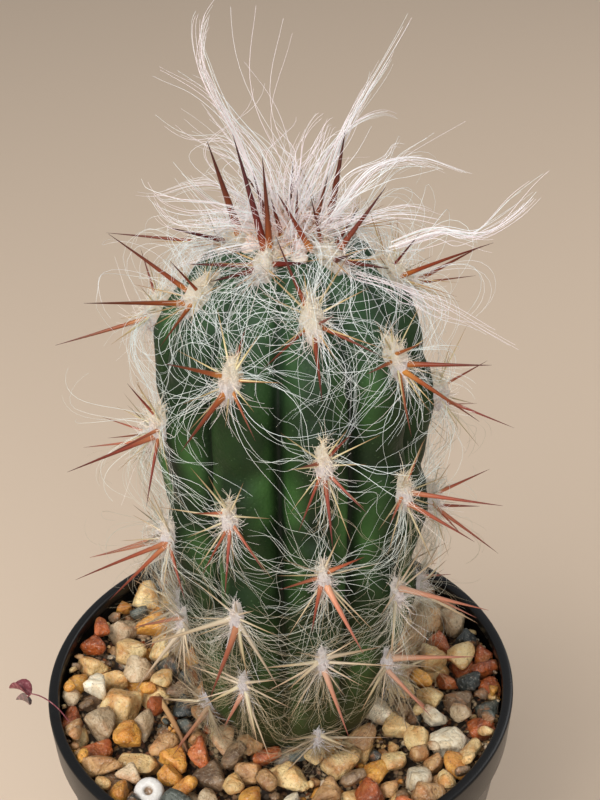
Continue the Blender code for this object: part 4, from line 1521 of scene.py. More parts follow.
@dataclass
class Stem:
    """The ribbed stem's skin."""

    columns: int = 240
    root_rows: int = 6
    side_rows: int = 100
    dome_rows: int = 34
    side_from: float = 62
    relief: float = 0.45
    relief_scale: float = 140.0
    relief_seed: float = 3.0

    def rows(self, form: StemForm) -> Array:
        """Heights of the mesh's rows, close together where the outline curves."""
        root = np.linspace(form.root_tip, self.side_from, self.root_rows)[:-1]
        side = np.linspace(self.side_from, form.shoulder, self.side_rows)[:-1]
        turn = np.linspace(0, math.pi / 2, self.dome_rows)[:-1]
        dome = form.shoulder + (form.apex - form.shoulder) * np.sin(turn) ** (2 / form.dome_power)
        return np.concatenate([root, side, dome])

    def build(self, shop: Workshop) -> None:
        """Makes the skin with its ribs and tubercles, then gives it its soft relief.

        Args:
            shop: What it is made with.
        """
        form = shop.form
        heights = self.rows(form)
        bearings = form.first_bearing + np.arange(self.columns) * 360 / self.columns
        points = form.point(bearings[None, :], heights[:, None])
        top = len(heights) * self.columns
        last = top - self.columns
        faces = [*grid_faces(len(heights), self.columns), tuple(reversed(range(self.columns)))]
        faces += [(last + k, last + (k + 1) % self.columns, top) for k in range(self.columns)]
        mesh = faced_out(mesh_of(np.vstack([points.reshape(-1, 3), form.axis(form.apex)]), faces))
        _, across = form.rib_place(np.broadcast_to(bearings, points.shape[:2]))
        share = np.clip((points[..., 2] - form.ribs_begin) / (form.apex - form.ribs_begin), 0, 1)
        store_on(mesh, "across", np.append(2 * across.ravel(), 0.0))
        store_on(mesh, "rise", np.append(share.ravel(), 1.0))
        values = {"Depth": self.relief * MM, "Scale": self.relief_scale, "Seed": self.relief_seed}
        values["Finish"] = shop.finishes["stem_skin"]
        deliver(shop.relief.run(add_piece("stem_bare", mesh), "stem_skin", values), "stem_skin", "stem")


# ---- spines


@dataclass
class Spines:
    """The spines of every areole: a few stout ones standing out and a ring of slender ones.

    The stout ones are set out as clock, lean and length, by rib and areole, and the young ones in
    the middle of the crown by root and tip.
    """

    stout_steps: int = 9
    slender_steps: int = 7
    stout_radius: float = 0.46
    slender_radius: float = 0.27
    crown_growth: float = 1.65
    old_from: int = 3
    old_lean: float = 30.0
    ring: tuple[tuple[float, float], ...] = ((35, 70), (80, 74), (125, 72), (235, 72), (280, 74), (325, 70))
    more: tuple[tuple[float, float], ...] = ((158, 66), (8, 62), (200, 64))
    stout: ClassVar[dict[int, list[list[Spot]]]] = {
        0: [
            [(0, 18, 16), (325, 27, 19), (205, 62, 10), (95, 70, 8), (244, 77, 11)],
            [(184, 37, 14), (283, 27, 12), (138, 80, 9), (82, 72, 8), (8, 87, 7)],
            [(178, 20, 10), (152, 41, 12), (121, 67, 10), (310, 27, 7)],
            [(154, 19, 14), (117, 62, 13), (271, 36, 17), (135, 45, 9)],
            [(187, 19, 7), (127, 45, 10), (263, 31, 7)],
        ],
        1: [
            [(136, 16, 8), (336, 63, 12), (232, 84, 10), (184, 82, 12), (130, 74, 11)],
            [(32, 60, 7), (185, 38, 12), (222, 50, 10), (135, 40, 9), (297, 43, 7)],
            [(154, 32, 13), (49, 58, 8), (224, 34, 9), (278, 65, 8)],
            [(161, 19, 13), (278, 45, 9), (52, 56, 12), (281, 80, 10)],
            [(38, 45, 8), (315, 71, 8)],
        ],
        2: [
            [(103, 28, 13), (350, 30, 9), (217, 40, 8), (170, 62, 9), (72, 66, 9)],
            [(308, 14, 9), (196, 33, 17), (131, 28, 14), (211, 76, 11), (275, 79, 8)],
            [(189, 9, 14), (91, 15, 16), (267, 65, 8), (18, 71, 8)],
            [(4, 11, 18), (233, 61, 10)],
            [(226, 14, 12), (57, 28, 15), (249, 80, 9)],
        ],
        3: [
            [(235, 23, 18), (310, 14, 9)],
            [(85, 40, 10), (180, 30, 13)],
        ],
        4: [[(3, 7, 15)]],
        5: [[(66, 39, 11)]],
        6: [[(344, 48, 11), (120, 30, 9)]],
        7: [[(135, 53, 17)]],
        8: [
            [(46, 9, 17), (134, 49, 11)],
            [(164, 46, 16), (300, 50, 10)],
        ],
        9: [
            [(173, 31, 18), (262, 19, 16), (64, 14, 10), (140, 66, 11)],
            [(359, 50, 9), (87, 25, 11), (151, 11, 16), (135, 63, 12)],
            [(127, 6, 17), (137, 27, 14), (124, 82, 10)],
            [(27, 18, 10), (125, 31, 14), (112, 74, 8)],
        ],
    }
    young: ClassVar[list[tuple[Spot, Spot]]] = [
        ((6.5, -8.0, 165.6), (1.9, -9.0, 175.1)), ((2.6, -4.0, 165.2), (1.0, -4.4, 172.2)),
        ((4.6, -3.6, 165.4), (4.9, -4.6, 173.4)), ((7.2, -1.5, 165.2), (9.6, -1.0, 174.0)),
        ((0.6, -0.8, 165.4), (-1.6, 0.6, 174.6)), ((4.0, 3.6, 165.2), (4.6, 6.8, 173.6)),
    ]

    def of_areole(self, areole: Areole) -> tuple[list, list]:
        """One areole's stout and slender spines, each as clock, lean and length.

        Args:
            areole: Where they grow.

        Returns:
            The stout ones and the slender ones.
        """
        chance = dice(100 * areole.rib + areole.index)
        side = chance.choice([-1, 1])
        usual = [
            (chance.uniform(150, 210), chance.uniform(15, 40), chance.uniform(11, 16)),
            (side * chance.uniform(70, 120), chance.uniform(25, 45), 11),
            (-side * chance.uniform(60, 130), chance.uniform(40, 60), 8),
        ]
        own = self.stout.get(areole.rib, [])
        slender = []
        extra = round(float(np.interp(areole.height, [80, 130], [0, len(self.more)])))
        longest = float(np.interp(areole.height, [80, 130], [13.5, 11]))
        for clock, lean in self.ring + self.more[:extra]:
            turned, tilted = clock + chance.uniform(-18, 18), lean + chance.uniform(-12, 5)
            slender.append((turned, tilted, chance.uniform(5.5, longest)))
        return own[areole.index] if areole.index < len(own) else usual, slender

    def grow(self, areole: Areole, spines: list, steps: int, radius: float, rows: float) -> Strands:
        """Grows one areole's spines.

        Args:
            areole: The areole.
            spines: Clock, lean and length of each.
            steps: Points along each.
            radius: Their usual radius at the root.
            rows: The lowest row of the map that they use, as a share.

        Returns:
            The spines' lines.
        """
        chance = dice(1000 + 100 * areole.rib + areole.index + steps)
        clock, lean, length = np.array(spines, float).T
        ways, turn, count = areole.way(clock, lean), np.radians(clock), len(spines)
        shift = np.outer(1.4 * np.cos(turn) - 0.3, areole.up) + np.outer(0.6 * np.sin(turn), areole.right)
        base = areole.middle + areole.normal * 0.5 + shift
        bend = np.cross(ways, unit(chance.normal(size=(count, 3)))) * chance.uniform(0.0, 0.05, (count, 1))
        line = bent(base, ways, bend, length, steps)
        size = radius * np.clip(length / 13, 0.75, 1.15) * chance.uniform(0.85, 1.15, count)
        size = size * np.interp(-areole.normal[1], [0.25, 0.75], [0.8, 1.0])
        height = (areole.height - 75) / 95
        thick = rows > 0.5
        if thick and height > 0.9:
            size = size * self.crown_growth
        else:
            size = size * np.interp(height, [0.36, 0.55, 0.8], [1.28 if thick else 1.08, 0.92, 1.0])
        height = np.clip(height + (1.15 - height) * chance.uniform(-0.14, 0.14, count), 0, 1)
        row = rows + np.interp(height, [0, 0.3, 0.5, 0.8, 1.0], [0.0, 0.03, 0.12, 0.24, 0.42])
        pale = (lean > self.old_lean) & thick & (areole.index >= self.old_from)
        row = np.where(pale, chance.uniform(0.02, 0.2, count), row)
        size = size * np.where(pale, 0.78, 1)
        return Strands(line, size[:, None] * self.taper(steps), row)

    def taper(self, steps: int) -> Array:
        """A spine's thickness from root to tip, beside its usual one."""
        share = np.linspace(0, 1, steps)
        return np.maximum(1 - share, 0.02) ** 0.82 * (1 + 0.25 * np.exp(-share * 14))

    def grow_young(self) -> Strands:
        """The young spines in the middle of the crown."""
        share = np.linspace(0, 1, self.stout_steps)[:, None]
        roots, tips = np.array(self.young).transpose(1, 0, 2)
        line = roots[:, None] + (tips - roots)[:, None] * share
        thick = 1.1 * self.stout_radius * np.tile(self.taper(self.stout_steps), (len(roots), 1))
        return Strands(line, thick, np.linspace(0.8, 0.88, len(roots)))

    def build(self, shop: Workshop) -> None:
        """Makes one piece of spines for each rib, and one for the crown.

        Args:
            shop: What it is made with.
        """
        for rib in range(shop.form.ribs):
            areoles = shop.form.areoles(rib)
            lowest = 0 if rib % 2 else 1
            names = [f"areole_rib_{rib + 1:02d}_{index + rib % 2}" for index in range(lowest, len(areoles))]
            deliver(self.piece(shop, f"spines_rib_{rib + 1:02d}", areoles[lowest:]), "spine", *names)
        crown = [shop.form.areole(rib, 0) for rib in range(0, shop.form.ribs, 2)]
        young = self.grow_young().piece(shop, "young_spines", 9, "spine")
        deliver(joined("crown_spines", [self.piece(shop, "crown_outer", crown), young]), "spine")

    def piece(self, shop: Workshop, name: str, areoles: list[Areole]) -> Object:
        """The spines of some areoles as one piece.

        Args:
            shop: What it is made with.
            name: The piece's name.
            areoles: Where they grow.

        Returns:
            The piece.
        """
        stout, slender = [], []
        for areole in areoles:
            thick, thin = self.of_areole(areole)
            stout.append(self.grow(areole, thick, self.stout_steps, self.stout_radius, 0.53))
            slender.append(self.grow(areole, thin, self.slender_steps, self.slender_radius, 0.02))
        thick = merged(stout).piece(shop, name + "_stout", 9, "spine")
        return joined(name, [thick, merged(slender).piece(shop, name + "_slender", 5, "spine")])


# ---- felt and hair


@dataclass
class Felt:
    """The felt pads of the areoles: soft lumpy cushions with short fibres standing out of them."""

    across: float = 1.25
    along: float = 3.0
    rise: float = 1.7
    fibres: int = 200
    steps: int = 4
    fibre_radius: float = 0.05
    seed: int = 5000
    grown: tuple[float, float] = (85.0, 130.0)

    def size(self, areole: Areole) -> float:
        """A pad's size beside the usual one: large at the crown and small at the foot."""
        return float(np.interp(areole.height, [75, 125, 160], [0.72, 1.0, 1.35]))

    def youth(self, areole: Areole) -> float:
        """How young a pad is, from 0, grey with age, to 1."""
        return float(np.interp(areole.height, self.grown, [0, 1]))

    def pad(self, areole: Areole, ways: Array) -> Array:
        """Points on an areole's pad.

        Args:
            areole: The areole.
            ways: Directions from the pad's middle, each as across, up and out.

        Returns:
            The points.
        """
        u, v, w = ways.T
        turn = 1.7 * areole.rib + 2.3 * areole.index
        lumps = 1 + 0.09 * np.sin(6 * u + 4 * v + turn) + 0.07 * np.sin(8 * v - 5 * w + 2 * turn)
        lumps = lumps + 0.05 * np.sin(17 * u + 7 * w + turn) * np.sin(15 * v + 3 * turn)
        wide = self.across * (1 - 0.6 * np.maximum(v, 0) ** 1.5)
        spot = areole.spread(wide * u, self.along * v, self.rise * w)
        return areole.middle + spot * lumps[:, None] * self.size(areole)

    def strands(self, areole: Areole) -> Strands:
        """One areole's fibres: drawn to a point above, and hanging in a beard below.

        Args:
            areole: Where they grow.

        Returns:
            The fibres.
        """
        chance = dice(self.seed + 100 * areole.rib + areole.index)
        count, youth = self.fibres, self.youth(areole)
        ways = unit(chance.normal(size=(count, 3)))
        ways[:, 2] = np.abs(ways[:, 2])
        u, v, w = ways.T
        tip, beard = np.clip(v - 0.3, 0, 1), np.clip(-0.15 - v, 0, 1)
        way = areole.spread(u * (0.9 - 1.2 * tip), v + 0.9 * tip - 0.7 * beard, 0.1 + 0.7 * w)
        way = unit(way + chance.normal(0, 0.7, (count, 3)))
        length = chance.uniform(0.4, 1.3, count) * self.size(areole)
        length = length + chance.uniform(0, 1.2, count) * tip + chance.uniform(0, 3.6, count) ** 1.3 * beard
        length = length * (0.65 + 0.35 * youth)
        bend = np.cross(way, chance.normal(0, 0.9, way.shape))
        line = bent(self.pad(areole, ways * 0.92), way, bend, length, self.steps)
        thick = thinned(self.fibre_radius * chance.uniform(0.7, 1.3, count), self.steps, 0.65, 1)
        rows = youth * (0.42 + 0.34 * np.clip(0.5 + v, 0, 1)) + chance.normal(0, 0.05, count)
        return Strands(line, thick, np.clip(rows, 0, 0.98))

    def build(self, shop: Workshop) -> None:
        """Makes the pads' cushions as one piece, and one piece of fibres for each rib.

        Args:
            shop: What it is made with.
        """
        bm = bmesh.new()
        bmesh.ops.create_icosphere(bm, subdivisions=4, radius=1)
        bm.verts.index_update()
        ways = np.array([vert.co for vert in bm.verts])
        faces = np.array([[vert.index for vert in face.verts] for face in bm.faces])
        bm.free()
        areoles = [areole for rib in range(shop.form.ribs) for areole in shop.form.areoles(rib)]
        points = np.concatenate([self.pad(areole, ways) for areole in areoles])
        every = np.concatenate([faces + len(ways) * number for number in range(len(areoles))])
        mesh = faced_out(mesh_of(points, every.tolist()))
        raised = np.interp([areole.height for areole in areoles], [145, 158], [0.5, 1.0])
        store_on(mesh, "upper", (raised[:, None] + 0.5 * ways[:, 1]).ravel())
        store_on(mesh, "youth", np.repeat([self.youth(areole) for areole in areoles], len(ways)))
        shop.hand_over("felt_pads", mesh, "felt_pad", "wool")
        shop.grow_on_ribs("felt_rib", self.strands, "wool")


@dataclass
class Comb:
    """How a set of hairs runs: one value for each hair, and what all of them share."""

    starts: Array
    ways: Array
    lengths: Array
    curls: Array
    waves: Array
    phases: Array
    lifts: Array
    sag: float = 0.006
    hold: float = 0.09
    least: float = 0.3

    def lines(self, form: StemForm, steps: int) -> Array:
        """Runs the hairs over the stem, step by step, each drawn to its own height over the crests.

        Args:
            form: The stem.
            steps: Points along each hair.

        Returns:
            The hairs' points.
        """
        place, way = self.starts.copy(), unit(self.ways)
        stride = (self.lengths / (steps - 1))[:, None]
        points = [place]
        for step in range(1, steps):
            share = step / (steps - 1)
            out = form.outward(place)
            side = np.cross(out, way)
            sway = np.sin(self.phases + 9 * share) + 0.5 * np.sin(2.3 * self.phases + 17 * share)
            bend = self.curls + self.waves * sway
            wanted = self.lifts * min(1, 0.35 + 2 * share)
            pull = np.clip(wanted - form.clearance(place, 0), -3, 3) * self.hold
            way = way + (side * bend[:, None] + out * pull[:, None]) * stride
            way[:, 2] -= self.sag * stride[:, 0]
            way = unit(way)
            place = place + way * stride
            sunk = np.maximum(self.least - form.clearance(place), 0)
            place = place + out * sunk[:, None]
            points.append(place)
        return np.stack(points, 1)


@dataclass
class Hair:
    """The white hair: it leaves every areole in small combed bundles and lies over the ribs."""

    bundles: tuple[int, ...] = (29, 20, 5, 8)
    strands: int = 4
    steps: int = 17
    least: float = 12.0
    most: float = 34.0
    radius: float = 0.032
    floor: float = 73.5
    strays: float = 0.12
    curtain: int = 4
    seed: int = 9000

    def of_areole(self, form: StemForm, areole: Areole) -> Strands:
        """One areole's hair: much of it at the top of the stem, a little at the foot.

        Args:
            form: The stem's shape.
            areole: Where it grows.

        Returns:
            The hairs.
        """
        chance = dice(self.seed + 100 * areole.rib + areole.index)
        height = np.clip((areole.height - 75) / 90, 0, 1)
        bundles = self.curtain + round(float(np.interp(height, [0.05, 0.35, 0.6, 0.9], self.bundles)))
        count = bundles * self.strands
        bundle = np.repeat(np.arange(bundles), self.strands)

        def each(low: float, high: float) -> Array:
            """An even number for each bundle."""
            return chance.uniform(low, high, bundles)

        def own(spread: float) -> Array:
            """A small number of its own for each hair."""
            return chance.normal(0, spread, count)

        side = np.where(chance.random(bundles) < 0.5, -1, 1)
        kind = chance.random(bundles)
        clock = np.where(kind < 0.6, each(65, 150), each(150, 185))
        clock = np.where(kind > 0.82, each(10, 65), clock) * side
        hangs = (np.arange(bundles) < self.curtain) & (areole.height < 150)
        clock = np.where(hangs, chance.normal(180, 9, bundles), clock)
        round_about = np.where(chance.random(bundles) < 0.2, 1 / 8, 1 / 17)
        curl = -side * round_about * each(0.3, 1.4)
        curl = curl * np.where(chance.random(bundles) < 0.3, -1, 1) * np.where(hangs, 0.15, 1)
        length = each(self.least, self.most) * (0.6 + 0.45 * height)
        length = np.where(hangs, np.clip(length, 11, 17), length)
        stray = chance.random(bundles) < self.strays
        lift = np.where(stray, each(3.5, 8), each(0.5, 3.4))
        across = 1.3 * np.sin(np.radians(clock)) + chance.normal(0, 0.3, bundles)
        along = 2.2 * np.cos(np.radians(clock)) + chance.normal(0, 0.8, bundles)
        clock = clock[bundle] + own(8)
        lean = np.clip(each(46, 78)[bundle] + own(6), 25, 88)
        comb = Comb(
            starts=areole.middle + areole.spread(across[bundle] + own(0.35), along[bundle] + own(0.5), 0.6),
            ways=areole.way(clock, lean),
            lengths=length[bundle] * chance.uniform(0.6, 1.08, count),
            curls=curl[bundle] + own(0.025),
            waves=(chance.normal(0, 0.15, bundles)[bundle] + own(0.07)) * (1.6 - 0.6 * height),
            phases=each(0, 6.3)[bundle] + own(0.6),
            lifts=lift[bundle] + own(0.6),
        )
        line = comb.lines(form, self.steps)
        line[..., 2] = np.maximum(line[..., 2], self.floor)
        radius = self.radius * (0.8 + 0.25 * height)
        thick = thinned(radius * chance.uniform(0.7, 1.3, count), self.steps, 0.55)
        rows = np.clip(height - 0.26 + chance.uniform(0, 0.16, count), 0, 0.8)
        return Strands(line, thick, rows * np.where(hangs[bundle], 0.2, 1))

    def build(self, shop: Workshop) -> None:
        """Makes one piece of hair for each rib."""
        shop.grow_on_ribs("hair_rib", lambda areole: self.of_areole(shop.form, areole), "hair")


@dataclass
class Crown:
    """The crown: a mound of wool, hair sweeping up and over it, and the long tufts.

    Each long tuft, and each sweep that lies over the shoulder, is set out by points on its middle.
    """

    radius: float = 6.0
    rise: float = 4.0
    tufts: int = 26
    fibres: int = 320
    wool_steps: int = 6
    locks: int = 44
    lock_strands: int = 4
    steps: int = 22
    fibre_radius: float = 0.055
    hair_radius: float = 0.048
    reach: float = 16.0
    tuft_locks: int = 6
    sweep_locks: int = 3
    tuft_strands: int = 4
    top: float = 198.6
    seed: int = 71
    paths: ClassVar[dict[str, list[Spot]]] = {
        "hair_tuft_1": [
            (8.2, 2.6, 167), (11.6, 3.6, 177), (15.4, 4, 184.4), (19.3, 4, 191.2), (22.9, 4, 198)
        ],
        "hair_tuft_2": [
            (0.2, 2.2, 168), (-3.6, 4, 178.1), (-7.7, 4, 187.5), (-8, 4, 193.5), (-5.9, 4, 198.6)
        ],
        "hair_tuft_3": [
            (9.4, -2, 167), (16, 0.5, 174.1), (23.6, 2, 175), (31.2, 2, 172), (38.9, 2, 169.6)
        ],
        "hair_tuft_4": [
            (19.3, -5, 163.9), (26, -5.4, 166.2), (31.9, -6, 165.9), (38.3, -6, 170.5), (44.1, -6, 177.9)
        ],
    }
    sweeps: ClassVar[list[list[Spot]]] = [
        [(1, 0, 167), (-4.5, 0, 168.5), (-9.6, 0, 171.5), (-13.1, 0, 175.5), (-16.6, 0, 181.5)],
        [(0, -4, 166.5), (-5, -6, 168), (-10, -7, 168.5), (-14.5, -7, 170.5), (-18, -7, 175)],
        [(-1, -6, 165.5), (-6, -9, 166.5), (-11.5, -10, 165.5), (-16, -10, 163.5), (-20, -10, 164.5)],
        [(2, 4, 167), (-1, 9, 170), (-5, 14, 172), (-11, 18, 172.5), (-17, 20, 175)],
        [(0, -1, 166.5), (-5.5, -2, 169.5), (-11.5, -3, 170), (-16, -3, 172.5), (-18.5, -3, 178)],
        [(-1, 2, 167), (-6, 3, 170.5), (-11, 3, 171.5), (-16.5, 3, 170), (-22, 2, 171)],
        [(3.7, -2, 166), (3.2, -2, 171), (4.4, -1, 177), (7.4, 0, 182.5), (11.5, 1, 186)],
        [(4.5, -1, 166), (5.4, 0, 171), (7.6, 1, 176), (11.4, 2, 179.5), (17, 2, 180)],
        [(6, 4, 167), (9, 10, 171), (13, 15, 174), (19, 19, 175), (26, 21, 173)],
        [(9, -4, 166), (14, -6, 169), (20, -6, 170), (26, -6, 169), (33, -6, 170.5)],
        [(13, -9, 162), (19.7, -10, 159.8), (25.8, -10, 156.6), (33.6, -10, 151.2), (41, -10, 146.5)],
        [(3, 1, 168), (0.5, 3, 175), (-4, 4, 181), (-10, 4, 186.5), (-15, 4, 189)],
    ]

    def mound(self, form: StemForm, away: Array, turn: Array, rise: float) -> Array:
        """Points over the crown.

        Args:
            form: The stem's shape.
            away: How far each is from the crown's middle.
            turn: Its direction from there, in radians from +X.
            rise: How far the highest of them stand above the stem.

        Returns:
            The points.
        """
        share = 1 - (away / form.radii[-1]) ** 2
        height = form.shoulder + (form.apex - form.shoulder) * np.maximum(share, 0) ** (1 / form.dome_power)
        dome = rise * np.sqrt(np.maximum(0, 1 - (away / (self.radius * 1.15)) ** 2))
        middle = form.axis(form.apex) * [1, 1, 0]
        return middle + level(turn) * away[:, None] + np.outer(height + dome, [0, 0, 1])

    def build(self, shop: Workshop) -> None:
        """Makes the wool, the crown's hair and each long tuft."""
        self.build_wool(shop)
        self.build_hair(shop)
        for number, (node, path) in enumerate(self.paths.items(), 1):
            strands = self.tuft(path, number, self.tuft_locks)
            deliver(strands.piece(shop, f"long_tuft_{number}", 3, "hair"), "hair", node)

    def build_wool(self, shop: Workshop) -> None:
        """The mound of wool, as fat tufts with fibres over them.

        Args:
            shop: What it is made with.
        """
        chance, steps = dice(self.seed), self.wool_steps
        count = self.tufts
        share = np.linspace(0, 1, steps)
        away = self.radius * np.sqrt((np.arange(count) + 0.5) / count)
        turn = np.arange(count) * GOLDEN
        base = self.mound(shop.form, away, turn, 0.0) - UP * 0.8
        way = unit(UP + level(turn) * (away / self.radius)[:, None] * 0.8)
        tall = self.rise * chance.uniform(0.55, 1.0, count) * (1 - 0.45 * away / self.radius)
        line = bent(base, way, 0 * way, tall, steps)
        bulge = np.sqrt(np.maximum(1 - share**3, 0.03))
        thick = np.outer(chance.uniform(1.1, 1.5, count), bulge)
        core = Strands(line, thick, chance.uniform(0.8, 0.98, count))
        count = self.fibres
        away = self.radius * 1.1 * np.sqrt(chance.random(count))
        turn = chance.uniform(0, TURN, count)
        base = self.mound(shop.form, away, turn, self.rise * 0.55)
        way = unit(UP * 0.8 + level(turn) * 0.7 + chance.normal(0, 0.5, (count, 3)))
        bend = np.cross(way, chance.normal(0, 0.6, (count, 3)))
        line = bent(base, way, bend, chance.uniform(2.0, 6.0, count), steps)
        thick = thinned(self.fibre_radius * chance.uniform(0.7, 1.3, count), steps, 0.6, 1)
        fibres = Strands(line, thick, chance.uniform(0.8, 0.98, count))
        pieces = [core.piece(shop, "crown_core", 8, "wool"), fibres.piece(shop, "crown_fibres", 3, "wool")]
        deliver(joined("crown_felt", pieces), "wool", "crown_wool")

    def build_hair(self, shop: Workshop) -> None:
        """Locks that rise from the crown, out and up, with the sweeps over its shoulder.

        Args:
            shop: What it is made with.
        """
        chance, form, locks = dice(self.seed + 1), shop.form, self.locks
        count = locks * self.lock_strands
        lock = np.repeat(np.arange(locks), self.lock_strands)
        away = self.radius * np.sqrt(chance.random(locks))
        turn = chance.uniform(0, TURN, locks)
        lean = np.radians(np.clip(12 + 55 * away / self.radius + chance.normal(0, 22, locks), 3, 84))
        lean = np.where(np.sin(turn) < -0.45, lean * 0.45, lean)
        length = np.minimum(7 + 14 * chance.random(locks) ** 1.6, self.reach / np.sin(lean))
        starts = self.mound(form, np.abs(away[lock] + chance.normal(0, 0.5, count)), turn[lock], 1.0)
        way = level(turn) * np.sin(lean)[:, None] + UP * np.cos(lean)[:, None]
        way = way + chance.normal(0, 0.2, (locks, 3))
        bend = chance.normal(0, 0.5, (locks, 3)) + np.array([0, 0.12, 0])
        curl = chance.normal(0, 0.1, (locks, 3))
        phase = chance.uniform(0, 6.3, (locks, 1))[lock] + chance.normal(0, 0.4, (count, 1))
        way = way[lock] + chance.normal(0, 0.07, (count, 3))
        bend = bend[lock] + chance.normal(0, 0.16, (count, 3))
        length = length[lock] * chance.uniform(0.65, 1.05, count)
        sway = np.sin(phase + 7 * np.linspace(0, 1, self.steps)) - np.sin(phase)
        line = bent(starts, way, bend, length, self.steps)
        line = line + curl[lock][:, None] * (sway * length[:, None])[..., None]
        sunk = np.maximum(0.4 - form.clearance(line), 0)
        line = line + form.outward(line) * sunk[..., None]
        line[..., 2] = np.minimum(line[..., 2], self.top)
        thick = thinned(self.hair_radius * chance.uniform(0.7, 1.25, count), self.steps, 0.6)
        made = [Strands(line, thick, chance.uniform(0.75, 0.98, count))]
        made += [self.tuft(path, 10 + number, self.sweep_locks) for number, path in enumerate(self.sweeps)]
        deliver(merged(made).piece(shop, "crown_hair", 3, "hair"), "hair")

    def tuft(self, path: list[Spot], number: int, locks: int) -> Strands:
        """One long tuft: locks of hair that follow its middle and part towards the tips.

        Args:
            path: Its middle, from the root.
            number: Which tuft it is.
            locks: How many locks it has.

        Returns:
            The hairs.
        """
        chance = dice(80 + number)
        count = locks * self.tuft_strands
        lock = np.repeat(np.arange(locks), self.tuft_strands)
        share = np.linspace(0, 1, self.steps)
        reach = chance.uniform(0.4, 1.0, locks)[lock] * chance.uniform(0.8, 1.0, count)
        middle = through(path, np.outer(reach, share))
        off, own = chance.normal(0, 1, (locks, 3))[lock], chance.normal(0, 1, (count, 3))
        phase = chance.uniform(0, 6.3, (locks, 1))[lock] + chance.normal(0, 0.3, (count, 1))
        part = 0.6 + 0.2 * share + 0.9 * share * np.sin(phase + 8 * share)
        line = middle + off[:, None] * part[..., None] + own[:, None] * (0.2 + 0.3 * share)[:, None]
        line[..., 2] = np.minimum(line[..., 2], self.top + 1.5)
        thick = thinned(self.hair_radius * chance.uniform(0.8, 1.3, count), self.steps, 0.6)
        return Strands(line, thick, chance.uniform(0.75, 0.98, count))


# ---- what lies on the gravel


@dataclass
class Litter:
    """The shed spine that lies on the stones and the dried seedling at the rim.

    Each leaf is set out by its turn about its length, its size, how far it lies from the usual
    place, and how far it has dried.
    """

    spine_radius: float = 0.55
    spine_steps: int = 9
    stalk: tuple[Spot, ...] = (
        (-38.2, -9.1, 73.8), (-39.6, -8.4, 75.8), (-41.3, -7.4, 77.0), (-43.3, -6.0, 77.2),
        (-45.1, -4.8, 76.7),
    )
    petiole: tuple[Spot, ...] = ((-45.1, -4.8, 76.7), (-45.6, -4.6, 75.9), (-46.3, -4.2, 75.2))
    stalk_radius: float = 0.12
    stalk_steps: int = 14
    leaf: Spot = (-47.2, -3.1, 76.6)
    leaf_half: Spot = (2.3, 1.5, 0.35)
    leaf_bearing: float = 150
    leaves: tuple[tuple, ...] = ((25, 1.0, (0, 0, 0), 0), (60, 0.68, (0.6, -0.9, -2.0), 1))

    def build(self, shop: Workshop) -> None:
        """Makes both.

        Args:
            shop: What it is made with.
        """
        low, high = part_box("fallen_spine")
        height = (low.z + high.z) / 2 / MM
        share = np.linspace(0, 1, self.spine_steps)
        start, end = (np.array([*spot, height]) for spot in SHED_ENDS)
        line = start + (end - start) * share[:, None]
        line[:, 0] += 0.4 * np.sin(share * 3)
        thick = self.spine_radius * np.maximum(1 - 0.6 * share**2.5, 0.1)
        shed = Strands(line[None], thick[None], np.array([0.4]))
        deliver(shed.piece(shop, "shed_spine", 10, "dry_spine"), "dry_spine", "fallen_spine")
        share = np.linspace(0, 1, self.stalk_steps)
        lines = np.array([through(path, share) for path in (self.stalk, self.petiole)])
        stalk = Strands(lines, np.full(lines.shape[:2], self.stalk_radius), np.array([0.5, 0.5]))
        pieces = [stalk.piece(shop, "seedling_stalk", 7, "dry_leaf")]
        pieces += [self.folded_leaf(shop, *leaf) for leaf in self.leaves]
        deliver(joined("seedling", pieces), "dry_leaf", "dried_seedling")

    def folded_leaf(self, shop: Workshop, turn: float, size: float, shift: Spot, dry: float) -> Object:
        """One small leaf, cupped along its middle and closed all round.

        Args:
            shop: What it is made with.
            turn: How far it is turned about its length, in degrees.
            size: Its size beside the usual one.
            shift: How far it lies from the usual place.
            dry: 0 for a maroon leaf, 1 for one that has dried grey.

        Returns:
            The leaf.
        """
        bm = bmesh.new()
        bmesh.ops.create_uvsphere(bm, u_segments=20, v_segments=12, radius=1)
        long, wide, thin = (half * size for half in self.leaf_half)
        for vert in bm.verts:
            x, y, z = vert.co
            cup = 0.9 * abs(y) ** 1.5 * wide - 0.35 * x * x * long
            vert.co = Vector((x * long, y * wide * (1 - 0.35 * x), z * thin + cup)) * MM
        mesh = moved(mesh_from(bm), Vector(self.leaf) + Vector(shift), X=turn, Z=self.leaf_bearing)
        store_on(mesh, "dry", np.full(len(mesh.vertices), float(dry)))
        mesh.materials.append(shop.finishes["dry_leaf"])
        flat = mesh.uv_layers.new(name="OFBake")
        for loop in mesh.loops:
            place = mesh.vertices[loop.vertex_index].co / MM - Vector(self.leaf)
            flat.uv[loop.index].vector = (0.5 + 0.09 * place.x, 0.5 + 0.09 * place.y + 0.04 * place.z)
        return add_piece("leaf", mesh)


# ---- studio


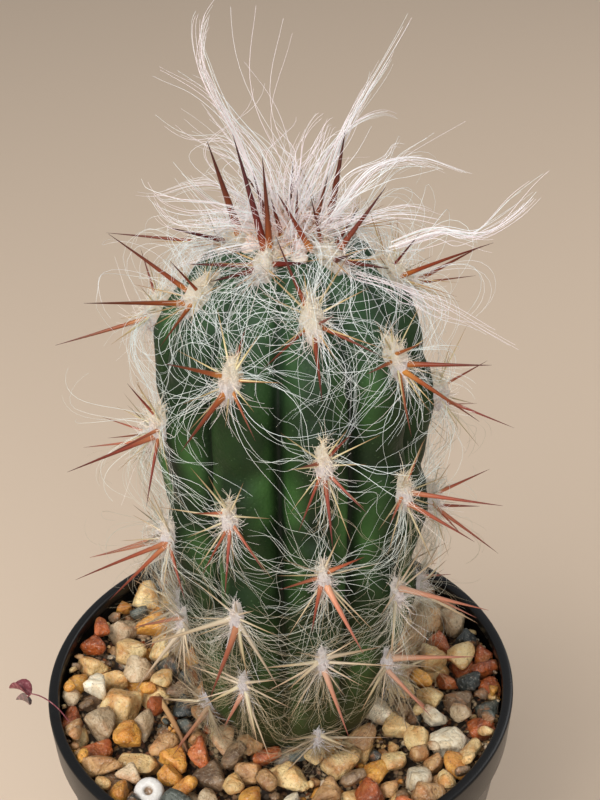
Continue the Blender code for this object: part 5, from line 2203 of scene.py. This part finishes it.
@dataclass
class Studio:
    """The floor, the lamps and the camera. Its lengths are metres.

    Each lamp has its place, its width and its power.
    """

    eye: Spot = (0.0, -0.2064, 0.2649)
    target: Spot = (0.0047, 0.0, 0.1342)
    roll: float = -1.306
    lens: float = 67.5
    nearest: float = 0.01
    floor: Colour = rgb(208, 187, 165)
    floor_size: float = 6
    sky: Colour = (0.95, 0.97, 1.0, 1.0)
    sky_strength: float = 0.42
    lit: Spot = (0, 0, 0.11)
    lamps: ClassVar[dict[str, tuple[Spot, float, float]]] = {
        "key": ((-0.32, -0.34, 0.62), 0.42, 4.3),
        "fill": ((0.0, -0.6, 0.36), 0.5, 2.4),
        "back": ((0.5, 0.35, 0.55), 0.4, 1.1),
    }

    def build(self) -> None:
        """Sets everything up."""
        self.build_floor()
        self.build_world()
        self.build_lamps()
        self.build_camera()
        bpy.context.scene.view_settings.view_transform = "Standard"

    def build_floor(self) -> None:
        """A plain wide floor."""
        bpy.ops.mesh.primitive_plane_add(size=self.floor_size)
        floor = bpy.context.object
        floor.name = "floor"
        paper = Paint("floor_paper").dressed(base_color=self.floor, roughness=0.9, specular_ior_level=0.1)
        floor.data.materials.append(paper)

    def build_world(self) -> None:
        """Soft light from all round."""
        world = bpy.data.worlds.new("studio")
        world.use_nodes = True
        background = world.node_tree.nodes["Background"]
        background.inputs["Color"].default_value = self.sky
        background.inputs["Strength"].default_value = self.sky_strength
        bpy.context.scene.world = world

    def build_lamps(self) -> None:
        """Square lamps that face the plant."""
        for name, (place, size, power) in self.lamps.items():
            light = bpy.data.lights.new(name, "AREA")
            light.size, light.energy = size, power
            lamp = bpy.data.objects.new(name, light)
            lamp.location = place
            lamp.rotation_euler = (Vector(self.lit) - Vector(place)).to_track_quat("-Z", "Y").to_euler()
            bpy.context.scene.collection.objects.link(lamp)

    def build_camera(self) -> None:
        """The camera, a little above the plant."""
        data = bpy.data.cameras.new("camera")
        data.lens, data.clip_start = self.lens, self.nearest
        camera = bpy.data.objects.new("camera", data)
        ahead = (Vector(self.target) - Vector(self.eye)).normalized()
        right = ahead.cross(Vector((0, 0, 1))).normalized()
        right = Matrix.Rotation(math.radians(-self.roll), 3, ahead) @ right
        turned = Matrix((right, right.cross(ahead), -ahead)).transposed().to_4x4()
        camera.matrix_world = Matrix.Translation(self.eye) @ turned
        bpy.context.scene.collection.objects.link(camera)
        bpy.context.scene.camera = camera


def main() -> None:
    """Loads the frame, then makes and dresses every piece."""
    logging.basicConfig(level=logging.INFO, format="%(name)s: %(message)s")
    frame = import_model()
    finishes = {finish.name: finish.make() for finish in [SPINE, WOOL, HAIR, DRY_SPINE, *SOLIDS]}
    shop = Workshop(StemForm(), finishes, StrandRecipe(), StoneRecipe(), ReliefRecipe())
    Pot().build(shop)
    soil = frame["nodes"]["potting_soil"]
    soil.data.materials.clear()
    soil.data.materials.append(finishes["soil"])
    for assembly in (TopDressing(), Stem(), Spines(), Felt(), Hair(), Crown(), Litter()):
        assembly.build(shop)
    Studio().build()
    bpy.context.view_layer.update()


if __name__ == "__main__":
    main()
